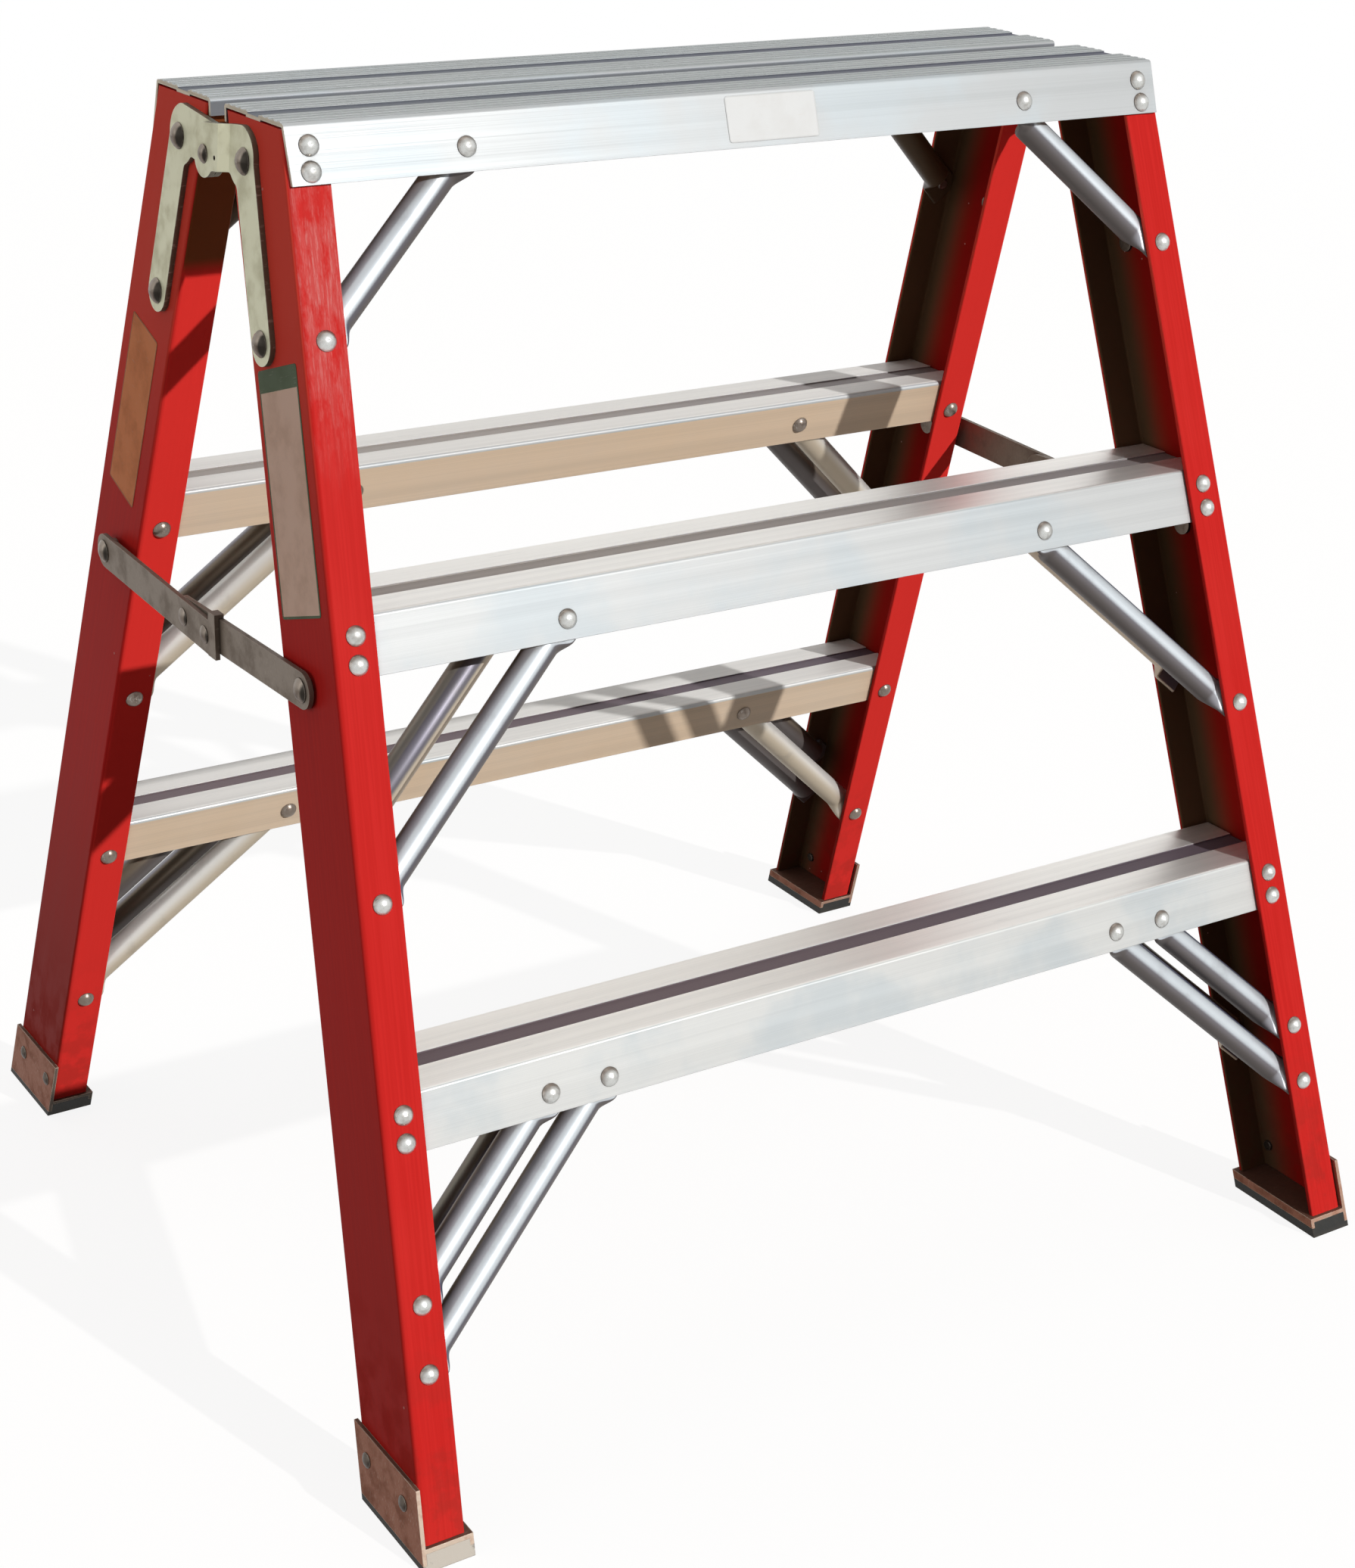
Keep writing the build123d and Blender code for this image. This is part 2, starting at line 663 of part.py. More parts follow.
def hinge_pin():
    """Pin through both lugs: domed outside, with a formed head behind the back lug."""
    outside = -2 * HINGE_PLATE - HINGE_LUG_GAP
    face = web_x(HINGE_Z, outside)
    behind = web_x(HINGE_Z, HINGE_LUG_GAP)
    slope = HINGE_PIN_HEAD_RADIUS * SPLAY_TAN
    head = x_dome(face, HINGE_PIN_HEAD_RADIUS, HINGE_PIN_HEAD_HEIGHT, 0, HINGE_Z)
    seat = x_disc(face - slope, face, 0, HINGE_Z, HINGE_PIN_HEAD_RADIUS) & beyond_web(outside)
    tail_end = behind - slope - RIVET_TAIL_HEIGHT
    tail = x_disc(tail_end, behind + slope, 0, HINGE_Z, HINGE_PIN_HEAD_RADIUS) - beyond_web(HINGE_LUG_GAP)
    shank = x_disc(tail_end, face, 0, HINGE_Z, HINGE_PIN_RADIUS)
    return one_solid((head & beyond_web(outside)) + seat + shank + tail)


def stay_inner_x():
    """Inner face of the inner stay bars, clear of the web below the stud."""
    return web_x(STAY_ANCHOR_Z - STAY_HALF_WIDTH) + STAY_WEB_CLEARANCE


def stay_outer_x():
    """Inner face of the outer stay bars."""
    return stay_inner_x() + STAY_THICKNESS + STAY_LAYER_GAP


def stay_stud_hole():
    """Hole in the web for the stud that carries a stay bar."""
    return x_rod(STAY_ANCHOR_Y, STAY_ANCHOR_Z, STAY_STUD_RADIUS + HOLE_CLEARANCE)


def stay_stud(bar_x):
    """Shouldered stud of a stay bar whose inner face is at bar_x."""
    at = (STAY_ANCHOR_Y, STAY_ANCHOR_Z)
    head_x = bar_x + STAY_THICKNESS + SIDE_CLEARANCE
    face = web_x(STAY_ANCHOR_Z)
    slope = STAY_SHOULDER_RADIUS * SPLAY_TAN
    tail_end = web_x(STAY_ANCHOR_Z, STILE_WALL) - slope - RIVET_TAIL_HEIGHT
    shoulder = x_disc(face - slope, bar_x - SIDE_CLEARANCE, *at, STAY_SHOULDER_RADIUS) & beyond_web()
    shank = x_disc(tail_end, head_x, *at, STAY_STUD_RADIUS)
    head = x_dome(head_x, STAY_HEAD_RADIUS, STAY_HEAD_HEIGHT, *at)
    tail = x_disc(tail_end, face, *at, STAY_SHOULDER_RADIUS) - beyond_web(STILE_WALL)
    return one_solid(shoulder + shank + head + tail)


def stay_line(joint_y):
    """Centre line of a stay bar from its stud through the joint, as start and unit direction."""
    start = Vector(STAY_ANCHOR_Y, STAY_ANCHOR_Z)
    along = (Vector(joint_y, STAY_JOINT_Z) - start).normalized()
    return start, along


def stay_point(joint_y, y):
    """Point of the bar's centre line at the given Y."""
    start, along = stay_line(joint_y)
    return start + along * ((y - start.X) / along.X)


def stay_bar(joint_y, bar_x, rivets_y):
    """Flat stay bar with the holes of its stud and rivets."""
    start, _ = stay_line(joint_y)
    end = stay_point(joint_y, -STAY_END_Y + STAY_HALF_WIDTH)
    outline = capsule((start.X, start.Y), (end.X, end.Y), STAY_HALF_WIDTH)
    bar = Pos(bar_x, 0, 0) * extrude(Plane.YZ * outline, amount=STAY_THICKNESS)
    bar -= x_rod(STAY_ANCHOR_Y, STAY_ANCHOR_Z, STAY_STUD_RADIUS + RUNNING_CLEARANCE)
    for y in rivets_y:
        place = stay_point(joint_y, y)
        bar -= x_rod(place.X, place.Y, STAY_JOINT_SHANK_RADIUS + HOLE_CLEARANCE)
    return bar


def front_stay_bar():
    """Inner bar on the front frame, drawn as if its frame were the positive one."""
    return one_solid(stay_bar(-STAY_JOINT_Y, stay_inner_x(), [-STAY_JOINT_Y]))


def back_stay_bar():
    """Outer bar on the back frame, with a square end whose lip rests over the front bar's top edge."""
    bar_x = stay_outer_x()
    bar = stay_bar(STAY_JOINT_Y, bar_x, [STAY_JOINT_Y, -STAY_JOINT_Y])
    front_end = stay_point(-STAY_JOINT_Y, STAY_END_Y)
    lip_bottom = front_end.Y + STAY_HALF_WIDTH + STAY_LIP_CLEARANCE
    lip_top = lip_bottom + STAY_LIP_THICKNESS
    own_end = stay_point(STAY_JOINT_Y, -STAY_END_Y)
    square_end = Polyline(
        (-STAY_END_Y, own_end.Y - STAY_HALF_WIDTH),
        (-STAY_END_Y, lip_top),
        (-STAY_END_Y + STAY_LIP_LENGTH, lip_top),
        (-STAY_END_Y + STAY_HALF_WIDTH, own_end.Y),
        (-STAY_END_Y + STAY_HALF_WIDTH, own_end.Y - STAY_HALF_WIDTH),
        close=True,
    )
    bar += Pos(bar_x, 0, 0) * extrude(Plane.YZ * make_face(square_end), amount=STAY_THICKNESS)
    lip_x = stay_inner_x()
    lip_width = bar_x + STAY_THICKNESS - lip_x
    lip = Box(lip_width, STAY_LIP_LENGTH, STAY_LIP_THICKNESS, align=Align.MIN)
    bar += Pos(lip_x, -STAY_END_Y, lip_bottom) * lip
    return one_solid(bar)


def front_stay_rivet():
    """Inner half of the stay joint's rivet, which stays with the front bar."""
    place = stay_point(-STAY_JOINT_Y, -STAY_JOINT_Y)
    face = stay_inner_x()
    head = x_disc(face - STAY_JOINT_HEAD_HEIGHT, face, place.X, place.Y, STAY_JOINT_HEAD_RADIUS)
    shank = x_disc(face, face + STAY_THICKNESS, place.X, place.Y, STAY_JOINT_SHANK_RADIUS)
    return one_solid(head + shank)


def back_stay_rivets():
    """Outer half of the joint's rivet and the stop rivet, both in the back bar."""
    face = stay_outer_x()
    outside = face + STAY_THICKNESS
    rivets = []
    for y in (STAY_JOINT_Y, -STAY_JOINT_Y):
        place = stay_point(STAY_JOINT_Y, y)
        head = x_dome(outside, STAY_JOINT_HEAD_RADIUS, STAY_JOINT_HEAD_HEIGHT, place.X, place.Y)
        shank = x_disc(face, outside, place.X, place.Y, STAY_JOINT_SHANK_RADIUS)
        rivets.append(one_solid(head + shank))
    return rivets


def to_quarter(shape, end, frame):
    """Mirror a piece of the right back quarter to the named end and frame."""
    if end == "left":
        shape = shape.mirror(Plane.YZ)
    if frame == "front":
        shape = shape.mirror(Plane.XZ)
    return shape


def frame_rivets():
    """Every domed rivet of one end of a frame."""
    fasteners = deck_rivets()
    for top in TREAD_HEIGHTS.values():
        fasteners += tread_rivets(top)
    for brace in frame_braces().values():
        fasteners += brace.rivets()
    return [fastener.solid() for fastener in fasteners]


def build():
    """All pieces by node name; a group of like fasteners is a list of solids."""
    nodes = {}
    steps = {"deck": deck(), "middle_tread": tread("middle"), "lower_tread": tread("lower")}
    quarter = {"stile": stile(), "shoe": shoe(), "sole": sole()}
    for name, brace in frame_braces().items():
        quarter[name] = brace.solid()
    hinge_plates = {"front": hinge_plate(lug_step()), "back": hinge_plate(0)}
    studs = {"front": stay_stud(stay_inner_x()), "back": stay_stud(stay_outer_x())}
    rivets = frame_rivets()
    web_rivets = [rivet.solid() for rivet in hinge_rivets() + shoe_rivets()]
    stays = {
        "front_spreader_bar": front_stay_bar(),
        "front_spreader_rivet": front_stay_rivet(),
        "back_spreader_bar": back_stay_bar(),
        "back_spreader_rivets": back_stay_rivets(),
    }
    for frame in ("front", "back"):
        for name, step in steps.items():
            nodes[f"{frame}_{name}"] = to_quarter(step, "right", frame)
        frame_group = []
        web_group = []
        for end in ("left", "right"):
            for name, piece in quarter.items():
                nodes[f"{frame}_{end}_{name}"] = to_quarter(piece, end, frame)
            nodes[f"{frame}_{end}_hinge_plate"] = to_quarter(hinge_plates[frame], end, frame)
            frame_group += [to_quarter(rivet, end, frame) for rivet in rivets]
            web_group += [to_quarter(rivet, end, frame) for rivet in web_rivets + [studs[frame]]]
        nodes[f"{frame}_frame_rivets"] = frame_group
        nodes[f"{frame}_web_fasteners"] = web_group
    nodes["hinge_pins"] = [to_quarter(hinge_pin(), end, "back") for end in ("left", "right")]
    for end in ("left", "right"):
        for name, piece in stays.items():
            frame = name.split("_")[0]
            solids = piece if isinstance(piece, list) else [piece]
            nodes[f"{end}_{name}"] = [to_quarter(solid, end, frame) for solid in solids]
    return nodes


def main():
    """Write one file for each node."""
    os.makedirs("parts", exist_ok=True)
    for name, piece in build().items():
        solids = piece if isinstance(piece, list) else [piece]
        shape = solids[0] if len(solids) == 1 else Compound(children=solids)
        export_step(shape, f"parts/{name}.step")


if __name__ == "__main__":
    main()
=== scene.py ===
"""Looks of the folding two-sided work platform.

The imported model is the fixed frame. Its nodes keep their shapes and places and get procedural finishes,
the brace tubes are modelled again with smoothly crimped ends, fine ribs are set on the platform's strips,
and blank stickers are laid on the webs and on the platform's apron.

Metres, +Z up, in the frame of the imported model: X runs along the platform, the origin is on the floor
under its middle, and the front frame is on the -Y side.
"""

from __future__ import annotations

import logging
import math
from collections.abc import Iterable, Mapping, Sequence
from dataclasses import dataclass, field
from enum import Enum
from typing import Any

import bmesh
import bpy
from mathutils import Matrix, Vector

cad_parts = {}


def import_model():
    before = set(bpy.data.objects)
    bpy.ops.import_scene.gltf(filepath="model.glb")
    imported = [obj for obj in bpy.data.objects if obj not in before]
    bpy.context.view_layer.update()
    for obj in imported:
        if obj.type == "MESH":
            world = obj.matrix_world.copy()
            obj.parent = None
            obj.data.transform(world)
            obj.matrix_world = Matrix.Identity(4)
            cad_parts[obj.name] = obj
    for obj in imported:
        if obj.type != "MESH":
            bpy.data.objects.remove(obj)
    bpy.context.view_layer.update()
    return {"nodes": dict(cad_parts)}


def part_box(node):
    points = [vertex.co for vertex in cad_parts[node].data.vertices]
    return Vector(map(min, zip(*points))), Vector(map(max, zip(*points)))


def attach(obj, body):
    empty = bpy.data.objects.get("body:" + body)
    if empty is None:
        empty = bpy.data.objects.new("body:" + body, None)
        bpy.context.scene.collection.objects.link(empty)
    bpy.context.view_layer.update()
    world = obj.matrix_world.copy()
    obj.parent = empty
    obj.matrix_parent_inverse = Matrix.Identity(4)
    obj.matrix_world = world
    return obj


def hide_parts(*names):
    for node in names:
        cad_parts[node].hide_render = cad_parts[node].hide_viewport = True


LOG = logging.getLogger("work_platform")
SMOOTH_ANGLE = math.radians(35.0)
TINY = 1e-7
RAY_SAMPLES = 6

Colour = tuple[float, float, float, float]
Span = tuple[float, float]

WHITE: Colour = (1.0, 1.0, 1.0, 1.0)
CORNER_TURN: Span = (0.015, 0.16)


class Place(Enum):
    """A place on the platform, with the sign of its axis."""

    @property
    def word(self) -> str:
        """Word for this place in the names of pieces."""
        return self.name.lower()


class Side(Place):
    """Which of the two frames a piece belongs to, with the sign of its Y."""

    FRONT = -1
    BACK = 1

    @property
    def body(self) -> str:
        """Name of the CAD body that carries this frame."""
        return f"{self.word}_frame"


class End(Place):
    """Which end of the platform a piece is at, with the sign of its X."""

    LEFT = -1
    RIGHT = 1


class Flange(Enum):
    """Flange of the stile that a brace is riveted to, with the sign of the way that it faces."""

    OUTER = 1
    INNER = -1


class Rounded(Enum):
    """What a bevel rounds, with Blender's name for it."""

    EDGES = "EDGES"
    CORNERS = "VERTICES"


def linear(channel: float) -> float:
    """Linear value of one display channel of 0 to 255."""
    share = channel / 255.0
    return share / 12.92 if share <= 0.04045 else ((share + 0.055) / 1.055) ** 2.4


def tint(red: float, green: float, blue: float) -> Colour:
    """Linear colour of a display colour with channels of 0 to 255."""
    return (linear(red), linear(green), linear(blue), 1.0)


class Wire:
    """An output socket that takes part in Python arithmetic."""

    def __init__(self, sheet: NodeSheet, socket: bpy.types.NodeSocket) -> None:
        """Keep the socket and the sheet that it is drawn on."""
        self.sheet = sheet
        self.socket = socket

    def __add__(self, other: Wire | float) -> Wire:
        """Sum with another value."""
        return self.sheet.join("ADD", self, other)

    def __radd__(self, other: float) -> Wire:
        """Sum with a number on the left."""
        return self.sheet.join("ADD", other, self)

    def __sub__(self, other: Wire | float) -> Wire:
        """Difference from another value."""
        return self.sheet.join("SUBTRACT", self, other)

    def __rsub__(self, other: float) -> Wire:
        """Difference from a number on the left."""
        return self.sheet.join("SUBTRACT", other, self)

    def __mul__(self, other: Wire | float) -> Wire:
        """Product with another value."""
        return self.sheet.join("MULTIPLY", self, other)

    def __rmul__(self, other: float) -> Wire:
        """Product with a number on the left."""
        return self.sheet.join("MULTIPLY", other, self)

    def __gt__(self, other: Wire | float) -> Wire:
        """One where this value is the larger, else nought."""
        return self.sheet.join("GREATER_THAN", self, other)

    def __lt__(self, other: Wire | float) -> Wire:
        """One where this value is the smaller, else nought."""
        return self.sheet.join("LESS_THAN", self, other)

    def __abs__(self) -> Wire:
        """Value without its sign."""
        return self.sheet.join("ABSOLUTE", self)

    def fade(self, low: float, high: float) -> Wire:
        """Smooth step of this value.

        Args:
            low: Value that gives nought.
            high: Value that gives one; it may be below low.

        Returns:
            The share between nought and one.
        """
        rising = low < high
        share = self.sheet.node(
            "ShaderNodeMapRange",
            {"interpolation_type": "SMOOTHSTEP"},
            {"Value": self, "From Min": min(low, high), "From Max": max(low, high)},
        )
        return share if rising else 1.0 - share


class NodeSheet:
    """A node tree that nodes are added to with one call each."""

    def __init__(self, tree: bpy.types.NodeTree) -> None:
        """Take the tree over and empty it."""
        self.tree = tree
        tree.nodes.clear()

    def node(
        self,
        kind: str,
        settings: Mapping[str, Any] | None = None,
        sockets: Mapping[str | int, Any] | None = None,
        output: str | int = 0,
    ) -> Wire:
        """Add a node.

        Args:
            kind: Blender's name for the node type.
            settings: Properties of the node, set before its sockets.
            sockets: Values or wires of its input sockets.
            output: Name or number of the output that is handed back.

        Returns:
            The chosen output.
        """
        node = self.tree.nodes.new(kind)
        for key, value in (settings or {}).items():
            setattr(node, key, value)
        for key, value in (sockets or {}).items():
            if isinstance(value, Wire):
                self.tree.links.new(value.socket, node.inputs[key])
            else:
                node.inputs[key].default_value = value
        return Wire(self, node.outputs[output] if node.outputs else node.inputs[0])

    def join(self, operation: str, *terms: Wire | float) -> Wire:
        """Math node of one or two terms."""
        return self.node("ShaderNodeMath", {"operation": operation}, dict(enumerate(terms)))

    def mix(self, share: Wire | float, low: Wire | Colour, high: Wire | Colour, blend: str = "MIX") -> Wire:
        """Blend two colours.

        Args:
            share: How much of the second colour shows.
            low: First colour.
            high: Second colour.
            blend: Blender's name for the way of blending.

        Returns:
            The blended colour.
        """
        settings = {"data_type": "RGBA", "blend_type": blend}
        return self.node("ShaderNodeMix", settings, {0: share, 6: low, 7: high}, 2)

    def vector(self, x: Wire | float, y: Wire | float, z: Wire | float) -> Wire:
        """Vector of three values."""
        return self.node("ShaderNodeCombineXYZ", None, {0: x, 1: y, 2: z})

    def parts(self, vector: Wire) -> tuple[Wire, Wire, Wire]:
        """The three values of a vector."""
        split = self.node("ShaderNodeSeparateXYZ", None, {0: vector}).socket.node
        return tuple(Wire(self, output) for output in split.outputs)

    def noise(self, vector: Wire, scale: float, detail: float = 2.0, roughness: float = 0.5) -> Wire:
        """Soft noise.

        Args:
            vector: Where the noise is read.
            scale: Features per unit of the vector.
            detail: How many finer layers are added.
            roughness: How strong the finer layers are.

        Returns:
            Noise that stays mostly between 0.25 and 0.75.
        """
        sockets = {"Vector": vector, "Scale": scale, "Detail": detail, "Roughness": roughness}
        return self.node("ShaderNodeTexNoise", None, sockets)


@dataclass(frozen=True)
class Skin:
    """Values of a surface that don't change over it.

    Attributes:
        depth: Depth of its relief.
        edge: Radius that its corners are softened by.
        specular: Strength of its reflection where it isn't metal.
    """

    depth: float
    edge: float
    specular: float


class MaterialSheet(NodeSheet):
    """Node tree of one material, with the readings that its finishes share."""

    def __init__(self, name: str) -> None:
        """Start an empty material.

        Args:
            name: Name of the material.
        """
        self.material = bpy.data.materials.new(name)
        self.material.use_nodes = True
        super().__init__(self.material.node_tree)

    def place(self) -> Wire:
        """Place on the piece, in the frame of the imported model."""
        return self.node("ShaderNodeTexCoord", None, None, "Object")

    def facing(self) -> tuple[Wire, Wire, Wire]:
        """Way that the surface faces on the piece, as three values."""
        return self.parts(self.node("ShaderNodeTexCoord", None, None, "Normal"))

    def kept(self, name: str) -> tuple[Wire, Wire, Wire]:
        """Place that was kept on the mesh before the piece was set in its place."""
        return self.parts(self.node("ShaderNodeAttribute", {"attribute_name": name}, None, "Vector"))

    def edges(self, radius: float) -> Wire:
        """Where the surface turns a corner.

        Args:
            radius: How far from the corner still counts.

        Returns:
            One on the corner, nought away from it.
        """
        rounded = self.node("ShaderNodeBevel", {"samples": RAY_SAMPLES}, {"Radius": radius})
        true = self.node("ShaderNodeNewGeometry", None, None, "Normal")
        together = self.node("ShaderNodeVectorMath", {"operation": "DOT_PRODUCT"}, {0: rounded, 1: true}, 1)
        return (1.0 - together).fade(*CORNER_TURN)

    def crevices(self, distance: float) -> Wire:
        """Share of the surroundings within the distance that is blocked."""
        settings = {"samples": RAY_SAMPLES, "only_local": False}
        return 1.0 - self.node("ShaderNodeAmbientOcclusion", settings, {"Distance": distance}, "AO")

    def specks(self, vector: Wire, scale: float, radius: float, share: float) -> Wire:
        """Sparse round specks.

        Args:
            vector: Where the specks are read.
            scale: Cells per unit of the vector.
            radius: Radius of a speck as a share of its cell.
            share: Share of the cells that hold a speck.

        Returns:
            One on a speck, else nought.
        """
        cells = self.node("ShaderNodeTexVoronoi", None, {"Vector": vector, "Scale": scale}).socket.node
        near = Wire(self, cells.outputs["Distance"]).fade(radius, radius * 0.6)
        lot = self.parts(Wire(self, cells.outputs["Color"]))[0]
        return near * (lot < share)

    def surface(
        self,
        colour: Wire,
        roughness: Wire,
        metallic: Wire | float,
        height: Wire,
        skin: Skin,
    ) -> bpy.types.Material:
        """Close the sheet with its shader.

        Args:
            colour: Base colour.
            roughness: Roughness.
            metallic: Metallic share.
            height: Height of the relief, nought to one.
            skin: Values that don't change over the surface.

        Returns:
            The finished material.
        """
        softened = self.node("ShaderNodeBevel", {"samples": RAY_SAMPLES}, {"Radius": skin.edge})
        bump = {"Strength": 1.0, "Distance": skin.depth, "Height": height, "Normal": softened}
        relief = self.node("ShaderNodeBump", None, bump)
        shader = self.node(
            "ShaderNodeBsdfPrincipled",
            None,
            {
                "Base Color": colour,
                "Roughness": roughness,
                "Metallic": metallic,
                "Normal": relief,
                "Specular IOR Level": skin.specular,
            },
        )
        self.node("ShaderNodeOutputMaterial", None, {"Surface": shader})
        return self.material


@dataclass(frozen=True)
class StileLines:
    """Sloping faces of the four stiles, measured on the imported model.

    Attributes:
        height: Height of the platform.
        web_foot: X of the web's outer face at the floor.
        flange_foot: Y of the outer flange's outer face at the floor.
        splay: Rise of X of the web per metre down.
        lean: Rise of Y of the flange per metre down.
        depth: Level depth of the channel from flange to flange.
    """

    height: float
    web_foot: float
    flange_foot: float
    splay: float
    lean: float
    depth: float

    @classmethod
    def measured(cls, depth: float = 0.0860, reach: float = 0.031) -> StileLines:
        """Take the slopes from the box of one stile.

        Args:
            depth: Level depth of the channel.
            reach: Level width of a flange.

        Returns:
            The stile's faces.
        """
        low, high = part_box("back_right_stile")
        rise = high.z - low.z
        splay = (high.x - low.x - reach) / rise
        lean = (high.y - low.y - depth) / rise
        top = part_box("front_deck")[1].z
        return cls(top, high.x + splay * low.z, high.y + lean * low.z, splay, lean, depth)

    def web_x(self, z: float) -> float:
        """X of the web's outer face at a height."""
        return self.web_foot - self.splay * z

    def flange_y(self, z: float, flange: Flange) -> float:
        """Y of a flange's outer face at a height."""
        outer = self.flange_foot - self.lean * z
        return outer if flange is Flange.OUTER else outer - self.depth

    @property
    def flange_normal(self) -> Vector:
        """Way that the outer flange of the back frame faces."""
        return Vector((0.0, 1.0, self.lean)).normalized()

    @property
    def web_normal(self) -> Vector:
        """Way that the web of the right end faces."""
        return Vector((1.0, 0.0, self.splay)).normalized()


def mirrored(side: Side, end: End) -> Matrix:
    """Matrix that carries the back right quarter into another one."""
    return Matrix.Diagonal((end.value, side.value, 1.0, 1.0))


def quarters() -> list[str]:
    """Names of the four quarters, such as front_left."""
    return [f"{side.word}_{end.word}" for side in Side for end in End]


def bevelled(
    mesh: bmesh.types.BMesh, rounded: Rounded, geometry: Sequence[Any], offset: float, segments: int
) -> None:
    """Round edges or corners of a mesh.

    Args:
        mesh: The mesh.
        rounded: What is rounded.
        geometry: Its edges or vertices.
        offset: Width of the rounding.
        segments: Number of faces or edges across it.
    """
    bmesh.ops.bevel(
        mesh,
        geom=geometry,
        offset=offset,
        offset_type="OFFSET",
        affect=rounded.value,
        segments=segments,
        profile=0.5,
        material=-1,
    )


def keep_place(mesh: bmesh.types.BMesh, name: str) -> None:
    """Keep each vertex's place on the mesh, before the mesh is set in its place.

    Args:
        mesh: The mesh.
        name: Name that the places are kept under.
    """
    layer = mesh.verts.layers.float_vector.new(name)
    for vertex in mesh.verts:
        vertex[layer] = vertex.co


def as_piece(mesh: bmesh.types.BMesh, name: str, material: bpy.types.Material, body: str) -> bpy.types.Object:
    """Turn a finished bmesh into a piece that rides on a body.

    Args:
        mesh: The shape, in its place; it is freed.
        name: Name of the piece.
        material: Its finish.
        body: CAD body that carries it.

    Returns:
        The piece's object, at the origin.
    """
    for face in mesh.faces:
        face.smooth = True
    for edge in mesh.edges:
        if len(edge.link_faces) == 2 and edge.calc_face_angle() > SMOOTH_ANGLE:
            edge.smooth = False
    data = bpy.data.meshes.new(name)
    mesh.to_mesh(data)
    mesh.free()
    data.materials.append(material)
    piece = bpy.data.objects.new(name, data)
    bpy.context.scene.collection.objects.link(piece)
    LOG.info("piece %s on %s", name, body)
    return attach(piece, body)


def dress(nodes: Mapping[str, bpy.types.Object], names: Iterable[str], material: bpy.types.Material) -> None:
    """Give CAD nodes a finish.

    Args:
        nodes: All CAD nodes by name.
        names: Names of the nodes that get it.
        material: The finish.
    """
    for name in names:
        slots = nodes[name].data.materials
        slots.clear()
        slots.append(material)
        LOG.info("node %s in %s", name, material.name)


